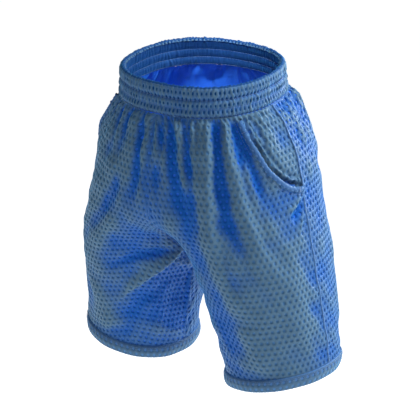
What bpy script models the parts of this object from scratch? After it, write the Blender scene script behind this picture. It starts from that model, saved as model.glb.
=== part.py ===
"""Knee-length athletic shorts in two-layer mesh, worn open as on a body.

The origin is the centre of the waist opening, level with the waistband's top
edge. +Z is up, -Y is the wearer's front and +X is the wearer's left. Units are
metres. Every left-hand piece is modelled once and mirrored for the right.
"""
import math

import bmesh
import bpy
from mathutils import Vector

# ---------------------------------------------------------------- driving sizes
# Waistband: an elastic casing with three channels.
BAND_HEIGHT = 0.048
BAND_THICKNESS = 0.0052
BAND_TOP_HALF_WIDTH = 0.133
BAND_TOP_HALF_DEPTH = 0.120
BAND_POWER = 2.3
BAND_SEGMENTS = 48
WAIST_PITCH = math.radians(4.0)  # the waist is worn lower in front
CHANNEL_HEIGHTS = (0.019, 0.0145, 0.0145)
STITCH_GROOVE = 0.0006
ELASTIC_THICKNESS = 0.0020
ELASTIC_MARGIN = 0.0015

# Body of the garment, ring by ring from the band down to the crotch:
# height, half width, depth in front, depth behind, y of the side seam.
BODY_RINGS = (
    (-0.048, 0.139, 0.131, 0.129, 0.004),
    (-0.074, 0.160, 0.147, 0.139, 0.009),
    (-0.115, 0.182, 0.162, 0.148, 0.012),
    (-0.165, 0.195, 0.169, 0.158, 0.013),
    (-0.215, 0.204, 0.172, 0.163, 0.012),
)
BODY_COLUMNS = 16
BODY_POWER = 2.3
# Crotch seam on the centre plane, front to back: y, height.
CROTCH = ((-0.075, -0.262), (0.012, -0.290), (0.100, -0.262))
# Left leg, ring by ring: height, x of its centre, half width, half depth, y of its centre.
LEG_RINGS = (
    (-0.290, 0.114, 0.108, 0.145, 0.008),
    (-0.350, 0.126, 0.105, 0.134, 0.012),
    (-0.410, 0.137, 0.102, 0.122, 0.017),
    (-0.460, 0.145, 0.099, 0.114, 0.022),
    (-0.504, 0.151, 0.097, 0.108, 0.026),
)
LEG_COLUMNS = 12
OUTSEAM_COLUMN, INSEAM_COLUMN = 4, 10
LEG_POWER = 2.1
HEM_ROLL = math.radians(11.0)  # the hems rise towards the outseams
ROLL_RINGS = 4  # rings over which the roll comes in

# Cloth and seams.
MESH_THICKNESS = 0.0012
LINING_THICKNESS = 0.0010
SEAM_GAP = 0.0010
LINING_DEPTH = 0.0017
BAG_THICKNESS = 0.0008
BAG_FRONT_DEPTH = 0.0032
FACING_DEPTH = 0.0045
BAG_BACK_DEPTH = 0.0062
CLEARANCE = 0.0004

# Hem bands: the cloth turned up double.
HEM_HEIGHT = 0.023
HEM_PROUD = 0.0008
HEM_THICKNESS = 0.0034
HEM_SEGMENTS = 36

# Slant pockets: the mouth runs from the band down to the outseam.
SEAM_Y = BODY_RINGS[1][4]
MOUTH_REACH = 0.054
MOUTH_DROP = 0.130
MOUTH_POWER = 1.4
MOUTH_STEPS = 10
MOUTH_ABOVE = 0.030  # way the mouth's cut runs up behind the band
MOUTH_BEHIND = 0.060  # way it runs behind the outseam
MOUTH_CUT = (0.090, 0.300)  # x from which and to which it reaches
MOUTH_BAND_WIDTH = 0.011
MOUTH_BAND_THICKNESS = 0.0014
MOUTH_BAND_LIFT = 0.0017
FACING_UNDERLAP = 0.028
BAG_AZIMUTH = math.radians(62.0)  # the way the bag faces, from the front towards the left
BAG_CENTRE = (0.062, -0.170)
BAG_HALF_WIDTH = 0.078
BAG_HALF_HEIGHT = 0.132
BAG_POWER = 3.0
BAG_STEPS = 28
BAG_CUT = (0.060, 0.300)  # way from the middle at which the bag's cut begins and ends
TACK_SIZE = (0.0090, 0.0022, 0.0009)
TACK_LIFT = 0.0024
TACK_SLANT = (0.6, 0.8)  # along and up
UPPER_TACK = (0.006, 0.013)  # from the mouth's upper end: forwards, down
LOWER_TACK = (0.010, 0.006)  # from its lower end, at the outseam: forwards, down

# Outseam welts: the raised lapped seam down each side.
WELT_RADIUS = 0.0012
WELT_LIFT = 0.0017
WELT_END_GAP = 0.0040
SIDE_SEAM_MIN_X = 0.10  # side seams lie outside this, inseams inside

# name: base colour, roughness
FINISHES = {
    "mesh": ((0.085, 0.190, 0.400), 0.62),
    "lining": ((0.020, 0.080, 0.420), 0.55),
    "band": ((0.070, 0.160, 0.330), 0.70),
    "elastic": ((0.780, 0.790, 0.800), 0.80),
    "binding": ((0.110, 0.230, 0.480), 0.65),
    "thread": ((0.060, 0.180, 0.520), 0.50),
}

FRONT, BACK, OTHER = 0, 1, 2


# ---------------------------------------------------------------- small helpers
def clear_scene():
    for obj in list(bpy.data.objects):
        bpy.data.objects.remove(obj, do_unlink=True)


def finish_material(name):
    """Principled material of one finish, made once."""
    found = bpy.data.materials.get(name)
    if found:
        return found
    colour, roughness = FINISHES[name]
    mat = bpy.data.materials.new(name)
    mat.use_nodes = True
    shader = mat.node_tree.nodes["Principled BSDF"]
    shader.inputs["Base Color"].default_value = (*colour, 1.0)
    shader.inputs["Roughness"].default_value = roughness
    shader.inputs["Metallic"].default_value = 0.0
    return mat


def place(name, bm, finish=None):
    """Object from a bmesh, which is used up."""
    mesh = bpy.data.meshes.new(name)
    bm.to_mesh(mesh)
    bm.free()
    obj = bpy.data.objects.new(name, mesh)
    bpy.context.collection.objects.link(obj)
    if finish:
        mesh.materials.append(finish_material(finish))
    return obj


def apply_modifiers(obj):
    """Replace an object's mesh by its evaluated one."""
    bpy.context.view_layer.update()
    graph = bpy.context.evaluated_depsgraph_get()
    mesh = bpy.data.meshes.new_from_object(obj.evaluated_get(graph))
    obj.modifiers.clear()
    obj.data = mesh


def cut(obj, cutter, operation):
    """Exact Boolean of two objects, applied."""
    modifier = obj.modifiers.new(operation, "BOOLEAN")
    modifier.operation = operation
    modifier.solver = "EXACT"
    modifier.object = cutter
    apply_modifiers(obj)


def mirrored(obj, name):
    """The same piece for the wearer's right."""
    bm = bmesh.new()
    bm.from_mesh(obj.data)
    for vert in bm.verts:
        vert.co.x = -vert.co.x
    bmesh.ops.reverse_faces(bm, faces=bm.faces[:])
    twin = place(name, bm)
    twin.data.materials.clear()
    twin.data.materials.append(obj.data.materials[0])
    return twin


def super_power(value, power):
    return math.copysign(abs(value) ** (2.0 / power), value)


# ---------------------------------------------------------------- garment surface
def body_point(ring, column):
    """Cage point on a ring round the hips; column 0 is the centre front."""
    height, half_width, front, back, seam_y = ring
    angle = 2.0 * math.pi * column / BODY_COLUMNS
    depth = front if math.cos(angle) > 0.0 else back
    x = half_width * super_power(math.sin(angle), BODY_POWER)
    y = seam_y - depth * super_power(math.cos(angle), BODY_POWER)
    return Vector((x, y, height + math.tan(WAIST_PITCH) * y))


def leg_point(index, column, side):
    """Cage point on a ring round a leg."""
    height, centre_x, half_width, half_depth, centre_y = LEG_RINGS[index]
    angle = math.radians(90.0 + (column - OUTSEAM_COLUMN) * 360.0 / LEG_COLUMNS)
    x = centre_x + half_width * super_power(math.sin(angle), LEG_POWER)
    y = centre_y - half_depth * super_power(math.cos(angle), LEG_POWER)
    roll = HEM_ROLL * min(1.0, (index + 1) / ROLL_RINGS)
    return Vector((side * x, y, height + math.tan(roll) * (x - centre_x)))


def garment_surface():
    """The whole outer surface, smoothed, with each face marked front, back or other."""
    bm = bmesh.new()
    body = [[bm.verts.new(body_point(ring, k)) for k in range(BODY_COLUMNS)]
            for ring in BODY_RINGS]
    crotch = [bm.verts.new((0.0, y, z)) for y, z in CROTCH]

    def quad(corners, side, panel):
        face = bm.faces.new(corners[::-1] if side > 0 else corners)
        face.material_index = panel if side > 0 else OTHER
        face.smooth = True

    half = BODY_COLUMNS // 2
    for upper, lower in zip(body, body[1:]):
        for k in range(BODY_COLUMNS):
            after = (k + 1) % BODY_COLUMNS
            panel = OTHER if k >= half else FRONT if k < half // 2 else BACK
            face = bm.faces.new((lower[k], lower[after], upper[after], upper[k]))
            face.material_index = panel
            face.smooth = True

    for side in (1, -1):
        legs = [[bm.verts.new(leg_point(i, j, side)) for j in range(LEG_COLUMNS)]
                for i in range(len(LEG_RINGS))]
        hips = [body[-1][j if side > 0 else -j % BODY_COLUMNS] for j in range(half + 1)]
        loops = [hips + crotch[::-1]] + legs
        for upper, lower in zip(loops, loops[1:]):
            for j in range(LEG_COLUMNS):
                after = (j + 1) % LEG_COLUMNS
                panel = BACK if OUTSEAM_COLUMN <= j < INSEAM_COLUMN else FRONT
                quad((upper[j], upper[after], lower[after], lower[j]), side, panel)

    obj = place("garment_surface", bm)
    for _ in (FRONT, BACK, OTHER):
        obj.data.materials.append(None)
    smooth = obj.modifiers.new("smooth", "SUBSURF")
    smooth.levels = 1
    smooth.render_levels = 1
    apply_modifiers(obj)
    surface = bmesh.new()
    surface.from_mesh(obj.data)
    bpy.data.objects.remove(obj, do_unlink=True)
    return surface


def panel_sheet(surface, panel, margin):
    """One panel of the surface in triangles, drawn in by a margin along its edges."""
    bm = surface.copy()
    others = [face for face in bm.faces if face.material_index != panel]
    bmesh.ops.delete(bm, geom=others, context="FACES")
    ring = bmesh.ops.inset_region(bm, faces=bm.faces[:], thickness=margin,
                                  use_boundary=True, use_even_offset=True)
    bmesh.ops.delete(bm, geom=ring["faces"], context="FACES")
    loose = [vert for vert in bm.verts if not vert.link_faces]
    bmesh.ops.delete(bm, geom=loose, context="VERTS")
    bmesh.ops.triangulate(bm, faces=bm.faces[:])
    for face in bm.faces:
        face.material_index = 0
    bm.normal_update()
    return bm


def wall(sheet, depth, thickness):
    """Closed wall parallel to a sheet, its outer face at a depth inside it."""
    bm = bmesh.new()
    outer = [bm.verts.new(v.co - v.normal * depth) for v in sheet.verts]
    inner = [bm.verts.new(v.co - v.normal * (depth + thickness)) for v in sheet.verts]
    sheet.verts.index_update()
    for face in sheet.faces:
        ring = [v.index for v in face.verts]
        bm.faces.new([outer[i] for i in ring])
        bm.faces.new([inner[i] for i in reversed(ring)])
    for edge in sheet.edges:
        if edge.is_boundary:
            loop = edge.link_loops[0]
            a, b = loop.vert.index, loop.link_loop_next.vert.index
            bm.faces.new((outer[b], outer[a], inner[a], inner[b]))
    return bm


# ---------------------------------------------------------------- turned rings
def swept_ring(section, outline, segments):
    """Closed ring: a section of (inset, level) points carried round an outline.

    outline(angle, inset, level) gives the point for each section point.
    """
    bm = bmesh.new()
    rings = []
    for step in range(segments):
        angle = 2.0 * math.pi * step / segments
        rings.append([bm.verts.new(outline(angle, inset, level)) for inset, level in section])
    count = len(section)
    for step in range(segments):
        here, there = rings[step], rings[(step + 1) % segments]
        for i in range(count):
            j = (i + 1) % count
            bm.faces.new((here[i], there[i], there[j], here[j]))
    bmesh.ops.recalc_face_normals(bm, faces=bm.faces[:])
    return bm


def smoothed_share(columns):
    """Size of a cage ring's smooth limit over the ring's own, for its number of columns."""
    return (4.0 + 2.0 * math.cos(2.0 * math.pi / columns)) / 6.0


def inset_super_ellipse(angle, half_width, front, back, inset, power):
    """x and y on an oval drawn in by a constant distance; angle 0 is the front."""
    depth = front if math.cos(angle) > 0.0 else back
    x = half_width * super_power(math.sin(angle), power)
    y = -depth * super_power(math.cos(angle), power)
    normal = Vector((math.copysign(abs(x / half_width) ** (power - 1.0) / half_width, x),
                     math.copysign(abs(y / depth) ** (power - 1.0) / depth, y)))
    normal.normalize()
    return x - inset * normal.x, y - inset * normal.y


def band_point(angle, inset, level):
    """Point on the waistband, inset from its outer face, level below its top edge."""
    share = -level / BAND_HEIGHT
    shrink = smoothed_share(BODY_COLUMNS)
    _, half_width, front, back, seam_y = BODY_RINGS[0]
    width = BAND_TOP_HALF_WIDTH + share * (shrink * half_width - BAND_TOP_HALF_WIDTH)
    deep_front = BAND_TOP_HALF_DEPTH + share * (shrink * front - BAND_TOP_HALF_DEPTH)
    deep_back = BAND_TOP_HALF_DEPTH + share * (shrink * back - BAND_TOP_HALF_DEPTH)
    x, y = inset_super_ellipse(angle, width, deep_front, deep_back, inset, BAND_POWER)
    y += share * seam_y
    return Vector((x, y, level + math.tan(WAIST_PITCH) * y))


def stitch_levels():
    """Heights of the two rows of stitches between the three channels."""
    first = -CHANNEL_HEIGHTS[0]
    return first, first - CHANNEL_HEIGHTS[1]


def waistband_casing():
    """Folded casing: an upside-down U that holds the elastics, grooved at its stitch rows."""
    skin = MESH_THICKNESS
    groove = 2.0 * STITCH_GROOVE
    outer = [(0.0, 0.0)]
    for level in stitch_levels():
        outer += [(0.0, level + groove), (STITCH_GROOVE, level), (0.0, level - groove)]
    outer.append((0.0, -BAND_HEIGHT))
    inside = [(skin, -BAND_HEIGHT), (skin, -skin), (BAND_THICKNESS - skin, -skin),
              (BAND_THICKNESS - skin, -BAND_HEIGHT), (BAND_THICKNESS, -BAND_HEIGHT),
              (BAND_THICKNESS, 0.0)]
    return place("waistband_casing", swept_ring(outer + inside, band_point, BAND_SEGMENTS), "band")


def elastics():
    """One elastic for each channel."""
    near = (BAND_THICKNESS - ELASTIC_THICKNESS) / 2.0
    far = near + ELASTIC_THICKNESS
    top = 0.0
    for name, height in zip(("upper", "middle", "lower"), CHANNEL_HEIGHTS):
        high = top - ELASTIC_MARGIN
        low = top - height + ELASTIC_MARGIN
        section = [(near, high), (near, low), (far, low), (far, high)]
        place("elastic_" + name, swept_ring(section, band_point, BAND_SEGMENTS), "elastic")
        top -= height


def hem_point(angle, inset, level):
    """Point on the left hem band, inset from the leg's surface, level below its top."""
    height, centre_x, half_width, half_depth, centre_y = LEG_RINGS[-1]
    shrink = smoothed_share(LEG_COLUMNS)
    x, y = inset_super_ellipse(angle, shrink * half_width, shrink * half_depth,
                               shrink * half_depth, inset, LEG_POWER)
    return Vector((centre_x + x, centre_y + y, height + level + math.tan(HEM_ROLL) * x))


def hem_band():
    outer, inner = -HEM_PROUD, HEM_THICKNESS - HEM_PROUD
    section = [(outer, 0.0), (outer, -HEM_HEIGHT), (inner, -HEM_HEIGHT), (inner, 0.0)]
    return place("hem_band_left", swept_ring(section, hem_point, HEM_SEGMENTS), "mesh")


# ---------------------------------------------------------------- pockets
def prism(outline, origin, across, out, near, far):
    """Closed prism: an outline of (across, height) points carried outwards."""
    bm = bmesh.new()
    rows = []
    for reach in (near, far):
        rows.append([bm.verts.new(origin + across * a + out * reach + Vector((0.0, 0.0, z)))
                     for a, z in outline])
    bm.faces.new(rows[0])
    bm.faces.new(rows[1][::-1])
    for i in range(len(outline)):
        j = (i + 1) % len(outline)
        bm.faces.new((rows[0][j], rows[0][i], rows[1][i], rows[1][j]))
    bmesh.ops.recalc_face_normals(bm, faces=bm.faces[:])
    return bm


def mouth_outline(extra, behind):
    """Corner between the pocket's mouth and the outseam, grown by a margin: y, z points."""
    reach, drop = MOUTH_REACH + extra, MOUTH_DROP + extra
    top = -BAND_HEIGHT
    points = [(SEAM_Y + behind, top + MOUTH_ABOVE), (SEAM_Y - reach, top + MOUTH_ABOVE)]
    for step in range(MOUTH_STEPS + 1):
        angle = 0.5 * math.pi * step / MOUTH_STEPS
        points.append((SEAM_Y - reach * math.cos(angle) ** (2.0 / MOUTH_POWER),
                       top - drop * math.sin(angle) ** (2.0 / MOUTH_POWER)))
    points.append((SEAM_Y + behind, top - drop))
    return points


def mouth_cutter(extra, behind=MOUTH_BEHIND):
    outline = mouth_outline(extra, behind)
    return place("cutter", prism(outline, Vector(), Vector((0.0, 1.0, 0.0)),
                                 Vector((1.0, 0.0, 0.0)), *MOUTH_CUT))


def bag_cutter():
    """Rounded outline of the pocket bag, facing the hip."""
    out = Vector((math.sin(BAG_AZIMUTH), -math.cos(BAG_AZIMUTH), 0.0))
    across = Vector((math.cos(BAG_AZIMUTH), math.sin(BAG_AZIMUTH), 0.0))
    outline = []
    for step in range(BAG_STEPS):
        angle = 2.0 * math.pi * step / BAG_STEPS
        outline.append((BAG_CENTRE[0] + BAG_HALF_WIDTH * super_power(math.cos(angle), BAG_POWER),
                        BAG_CENTRE[1] + BAG_HALF_HEIGHT * super_power(math.sin(angle), BAG_POWER)))
    return place("cutter", prism(outline, Vector(), across, out, *BAG_CUT))


def trimmed(name, bm, finish, keep=(), remove=()):
    """Piece from a wall, kept inside some cutters and taken away inside others."""
    obj = place(name, bm, finish)
    for operation, cutters in (("INTERSECT", keep), ("DIFFERENCE", remove)):
        for cutter in cutters:
            cut(obj, cutter, operation)
    obj.data.materials.clear()
    obj.data.materials.append(finish_material(finish))
    for face in obj.data.polygons:
        face.material_index = 0
    return obj


def bar_tack(name, sheet, y, z):
    """Short block of dense stitches, laid on the hip where a line along X meets it."""
    place_on = min((face for face in sheet.faces if face.calc_center_median().x > SIDE_SEAM_MIN_X),
                   key=lambda face: (face.calc_center_median().yz - Vector((y, z))).length)
    centre = place_on.calc_center_median()
    normal = place_on.normal
    x = centre.x - (normal.y * (y - centre.y) + normal.z * (z - centre.z)) / normal.x
    upright = (Vector((0.0, 0.0, 1.0)) - normal * normal.z).normalized()
    along = (upright.cross(normal) * TACK_SLANT[0] + upright * TACK_SLANT[1]).normalized()
    frame = (along, normal.cross(along), normal)
    bm = bmesh.new()
    bmesh.ops.create_cube(bm, size=1.0)
    middle = Vector((x, y, z)) + normal * (TACK_LIFT + TACK_SIZE[2] / 2.0)
    for vert in bm.verts:
        local = [vert.co[i] * TACK_SIZE[i] for i in range(3)]
        vert.co = middle + sum((frame[i] * local[i] for i in range(3)), Vector())
    return place(name, bm, "thread")


def pocket_pieces(front):
    """Facing, both leaves of the bag, the mouth's band and its bar tacks."""
    mouth = mouth_cutter(0.0)
    under = mouth_cutter(FACING_UNDERLAP)
    edge = mouth_cutter(MOUTH_BAND_WIDTH, behind=CLEARANCE)
    bag = bag_cutter()
    pieces = [
        trimmed("pocket_facing_left", wall(front, FACING_DEPTH, MESH_THICKNESS), "mesh",
                keep=[under]),
        trimmed("pocket_bag_front_left", wall(front, BAG_FRONT_DEPTH, BAG_THICKNESS), "lining",
                keep=[bag], remove=[mouth]),
        trimmed("pocket_bag_back_left", wall(front, BAG_BACK_DEPTH, BAG_THICKNESS), "lining",
                keep=[bag]),
    ]
    return mouth, edge, [under, bag], pieces


# ---------------------------------------------------------------- outseam welts
def outseam_chain(surface):
    """Points down the left outseam, each lifted off the cloth, band to hem."""
    points = []
    for vert in surface.verts:
        panels = {face.material_index for face in vert.link_faces}
        if panels == {FRONT, BACK} and vert.co.x > SIDE_SEAM_MIN_X:
            points.append(vert.co + vert.normal * WELT_LIFT)
    points.sort(key=lambda point: -point.z)
    points[0] = points[0] + (points[1] - points[0]).normalized() * WELT_END_GAP
    points[-1] = points[-1] + (points[-2] - points[-1]).normalized() * WELT_END_GAP
    return points


def outseam_welt(surface):
    points = outseam_chain(surface)
    curve = bpy.data.curves.new("outseam_welt_left", "CURVE")
    curve.dimensions = "3D"
    curve.bevel_depth = WELT_RADIUS
    curve.bevel_resolution = 2
    curve.use_fill_caps = True
    spline = curve.splines.new("POLY")
    spline.points.add(len(points) - 1)
    for target, point in zip(spline.points, points):
        target.co = (*point, 1.0)
    drawn = bpy.data.objects.new("welt_path", curve)
    bpy.context.collection.objects.link(drawn)
    bpy.context.view_layer.update()
    graph = bpy.context.evaluated_depsgraph_get()
    bm = bmesh.new()
    bm.from_mesh(bpy.data.meshes.new_from_object(drawn.evaluated_get(graph)))
    bpy.data.objects.remove(drawn, do_unlink=True)
    bmesh.ops.remove_doubles(bm, verts=bm.verts[:], dist=1e-6)
    bmesh.ops.recalc_face_normals(bm, faces=bm.faces[:])
    return place("outseam_welt_left", bm, "binding")


# ---------------------------------------------------------------- assembly
def main():
    clear_scene()
    surface = garment_surface()
    front = panel_sheet(surface, FRONT, SEAM_GAP / 2.0)
    back = panel_sheet(surface, BACK, SEAM_GAP / 2.0)

    mouth, edge, cutters, left = pocket_pieces(front)
    left += [
        trimmed("front_panel_left", wall(front, 0.0, MESH_THICKNESS), "mesh", remove=[mouth]),
        trimmed("front_lining_left", wall(front, LINING_DEPTH, LINING_THICKNESS), "lining",
                remove=[mouth]),
        trimmed("pocket_mouth_band_left", wall(front, -MOUTH_BAND_LIFT, MOUTH_BAND_THICKNESS),
                "binding", keep=[edge], remove=[mouth]),
        place("back_panel_left", wall(back, 0.0, MESH_THICKNESS), "mesh"),
        place("back_lining_left", wall(back, LINING_DEPTH, LINING_THICKNESS), "lining"),
        outseam_welt(surface),
        hem_band(),
    ]
    left.append(bar_tack("pocket_bar_tack_upper_left", front,
                         SEAM_Y - MOUTH_REACH - UPPER_TACK[0], -BAND_HEIGHT - UPPER_TACK[1]))
    left.append(bar_tack("pocket_bar_tack_lower_left", front,
                         SEAM_Y - LOWER_TACK[0], -BAND_HEIGHT - MOUTH_DROP - LOWER_TACK[1]))
    for cutter in [mouth, edge] + cutters:
        bpy.data.objects.remove(cutter, do_unlink=True)
    for piece in left:
        mirrored(piece, piece.name.replace("_left", "_right"))
    waistband_casing()
    elastics()
    for bm in (surface, front, back):
        bm.free()


main()
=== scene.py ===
"""Athletic mesh shorts: cloth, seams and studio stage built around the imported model.

Run it as a script. It is laid out as an add-on: a PropertyGroup for each kind of
piece, an operator that makes the pieces, and a panel that lists the operators.
Units are metres, +Z is up, -Y is the wearer's front and +X is the wearer's left.
"""
import math

import bmesh
import bpy
import numpy as np
from bpy.props import FloatProperty, FloatVectorProperty, PointerProperty
from bpy.types import Operator, Panel, PropertyGroup
from mathutils import Matrix, Vector
from mathutils.bvhtree import BVHTree
from mathutils.interpolate import poly_3d_calc


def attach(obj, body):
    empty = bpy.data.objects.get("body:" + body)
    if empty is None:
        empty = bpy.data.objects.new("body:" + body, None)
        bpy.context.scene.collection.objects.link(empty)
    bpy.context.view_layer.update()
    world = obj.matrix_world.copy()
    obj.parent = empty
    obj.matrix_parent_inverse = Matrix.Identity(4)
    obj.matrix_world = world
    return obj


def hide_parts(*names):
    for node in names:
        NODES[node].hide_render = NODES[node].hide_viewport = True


bl_info = {
    "name": "Mesh Athletic Shorts",
    "version": (1, 0, 0),
    "blender": (4, 5, 0),
    "location": "3D View > Sidebar > Shorts",
    "description": "Builds the cloth, seams and stage of a pair of lined mesh shorts",
    "category": "Add Mesh",
}

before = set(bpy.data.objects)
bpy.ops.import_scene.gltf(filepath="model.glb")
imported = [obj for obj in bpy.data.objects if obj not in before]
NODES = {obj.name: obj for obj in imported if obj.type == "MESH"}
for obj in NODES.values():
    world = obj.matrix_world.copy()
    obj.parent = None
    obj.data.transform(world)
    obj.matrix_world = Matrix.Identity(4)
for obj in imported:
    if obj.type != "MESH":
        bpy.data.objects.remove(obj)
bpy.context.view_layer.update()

# ------------------------------------------------------------- garment's shape
# The rings that the pattern was cut to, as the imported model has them.
# Hips: height, half width, depth in front, depth behind, y of the side seam.
BODY_RINGS = (
    (-0.048, 0.139, 0.131, 0.129, 0.004),
    (-0.074, 0.160, 0.147, 0.139, 0.009),
    (-0.115, 0.182, 0.162, 0.148, 0.012),
    (-0.165, 0.195, 0.169, 0.158, 0.013),
    (-0.215, 0.204, 0.172, 0.163, 0.012),
)
BODY_COLUMNS = 16
BODY_POWER = 2.3  # how square the hips' rings are; 2 is an ellipse
CROTCH = ((-0.075, -0.262), (0.012, -0.290), (0.100, -0.262))  # y and height, front to back
# Left leg: height, x of its centre, half width, half depth, y of its centre.
LEG_RINGS = (
    (-0.290, 0.114, 0.108, 0.145, 0.008),
    (-0.350, 0.126, 0.105, 0.134, 0.012),
    (-0.410, 0.137, 0.102, 0.122, 0.017),
    (-0.460, 0.145, 0.099, 0.114, 0.022),
    (-0.504, 0.151, 0.097, 0.108, 0.026),
)
LEG_COLUMNS = 12
LEG_POWER = 2.1
HEM_ROLL = math.radians(11.0)  # slope of the hem, up towards the outseam
ROLL_RINGS = 4  # rings of the leg over which that slope grows
WAIST_PITCH = math.radians(4.0)  # slope of the waist, up towards the back
WAIST_SHARE = 0.8  # share of the hip's width that the cloth keeps at the waist

# Columns of the cage: 0 is the centre front and 8 the centre back, down to the
# crotch. Below it, 9, 10 and 11 close the ring round the leg along its inside.
HALF_COLUMNS = BODY_COLUMNS // 2
SIDE, INSEAM = 4, 10
FRONT_COLUMNS = (4, 3, 2, 1, 0, 11, 10)
BACK_COLUMNS = (4, 5, 6, 7, 8, 9, 10)
CROTCH_COLUMNS = (11, 10, 9)
CARRIED_COLUMNS = ((11, 0), (9, 8), (10, 11))  # each with the column its way down starts from

PANELS = ("front_left", "back_left", "front_right", "back_right")
LEFT, RIGHT = "left", "right"


# ------------------------------------------------------------- small sums
def ease(value):
    """Smooth step of a value that is held between 0 and 1."""
    held = np.clip(value, 0.0, 1.0)
    return held * held * (3.0 - 2.0 * held)


def bell(value, centre, width):
    """Bell curve that is 1 at its centre."""
    return np.exp(-((value - centre) / width) ** 2)


def smooth_route(route, steps=8):
    """Catmull-Rom curve through a few points of the pattern."""
    points = np.array(route, dtype=float)
    padded = np.vstack([2 * points[0] - points[1], points, 2 * points[-1] - points[-2]])
    curve = []
    for i in range(len(points) - 1):
        a, b, c, d = padded[i:i + 4]
        for step in range(steps):
            t = step / steps
            curve.append(0.5 * (2 * b + (c - a) * t + (2 * a - 5 * b + 4 * c - d) * t * t
                                + (3 * b - a - 3 * c + d) * t ** 3))
    curve.append(points[-1])
    return np.array(curve)


def route_place(path, across, down):
    """Distance from a route, which side of it, and the share of the route passed."""
    place = np.stack([across, down], axis=1)
    best = np.full(len(place), np.inf)
    side = np.zeros(len(place))
    along = np.zeros(len(place))
    count = len(path) - 1
    for i in range(count):
        start, step = path[i], path[i + 1] - path[i]
        share = np.clip((place - start) @ step / (step @ step), 0.0, 1.0)
        offset = place - start - share[:, None] * step
        distance = np.hypot(offset[:, 0], offset[:, 1])
        closer = distance < best
        best[closer] = distance[closer]
        turn = step[0] * offset[:, 1] - step[1] * offset[:, 0]
        side[closer] = np.sign(turn[closer])
        along[closer] = (i + share[closer]) / count
    return best, side, along


def passed_lengths(points):
    """Way passed along a run of points, from 0 at the first."""
    steps = np.linalg.norm(np.diff(points, axis=0), axis=1)
    return np.concatenate([[0.0], np.cumsum(steps)])


def flat_grid(lengths, ups):
    """Places of a flat cut whose rows and columns lie at these lengths."""
    return np.stack(np.meshgrid(lengths, ups, indexing="ij"), axis=-1)


# ------------------------------------------------------------- garment's cage
def super_power(value, power):
    """Signed power that turns a circle's sine or cosine into a super-ellipse's."""
    return math.copysign(abs(value) ** (2.0 / power), value)


def body_point(ring, column):
    """Cage point on a ring round the hips; column 0 is the centre front."""
    height, half_width, front, back, seam_y = ring
    angle = 2.0 * math.pi * column / BODY_COLUMNS
    depth = front if math.cos(angle) > 0.0 else back
    x = half_width * super_power(math.sin(angle), BODY_POWER)
    y = seam_y - depth * super_power(math.cos(angle), BODY_POWER)
    return Vector((x, y, height + math.tan(WAIST_PITCH) * y))


def leg_point(index, column):
    """Cage point on a ring round the left leg, whose seams lie on SIDE and INSEAM."""
    height, centre_x, half_width, half_depth, centre_y = LEG_RINGS[index]
    angle = math.radians(90.0 + (column - SIDE) * 360.0 / LEG_COLUMNS)
    x = centre_x + half_width * super_power(math.sin(angle), LEG_POWER)
    y = centre_y - half_depth * super_power(math.cos(angle), LEG_POWER)
    roll = HEM_ROLL * min(1.0, (index + 1) / ROLL_RINGS)
    return Vector((x, y, height + math.tan(roll) * (x - centre_x)))


class HalfPattern:
    """Cage points of the left half, with their place in the flat pattern.

    Across runs from the outseam, towards the front where it is positive. Down
    runs from the waistband.
    """

    def __init__(self):
        hips = len(BODY_RINGS)
        points = {}
        for row, ring in enumerate(BODY_RINGS):
            for column in range(HALF_COLUMNS + 1):
                points[row, column] = body_point(ring, column)
        for column, (y, z) in zip(CROTCH_COLUMNS, CROTCH):
            points[hips - 1, column] = Vector((0.0, y, z))
        for index in range(len(LEG_RINGS)):
            for column in range(LEG_COLUMNS):
                points[hips + index, column] = leg_point(index, column)
        self.points = points
        self.rows = hips + len(LEG_RINGS)
        self.hips = hips
        self.front = self._across(FRONT_COLUMNS, 1.0)
        self.back = self._across(BACK_COLUMNS, -1.0)
        self.down = self._down()

    def _across(self, columns, sign):
        """Distance from the outseam along each row, for one panel's columns."""
        found = {}
        for row in range(self.rows):
            reach = 0.0
            found[row, columns[0]] = 0.0
            for before, column in zip(columns, columns[1:]):
                if (row, column) not in self.points:
                    break
                reach += (self.points[row, column] - self.points[row, before]).length
                found[row, column] = sign * reach
        widest = self.hips - 1
        for row in range(widest):
            for column in columns:
                if (row, column) in found:
                    here = found[row, column]
                    found[row, column] = here + WAIST_SHARE * (found[widest, column] - here)
        return found

    def to_middle(self, row, column):
        """Columns between a cage point and the seam down the middle or inside the leg."""
        if row < self.hips:
            return max(0, min(column, HALF_COLUMNS - column))
        return min((column - INSEAM) % LEG_COLUMNS, (INSEAM - column) % LEG_COLUMNS)

    def _down(self):
        """Distance below the waistband down each column."""
        found = {}
        last = self.hips - 1

        def run_down(column, first):
            for row in range(first + 1, self.rows):
                step = self.points[row, column] - self.points[row - 1, column]
                found[row, column] = found[row - 1, column] + step.length

        for column in range(HALF_COLUMNS + 1):
            found[0, column] = 0.0
            run_down(column, 0)
        for column, beside in CARRIED_COLUMNS:
            drop = self.points[last, beside].z - self.points[last, column].z
            found[last, column] = found[last, beside] + drop
            run_down(column, last)
        return found


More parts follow.
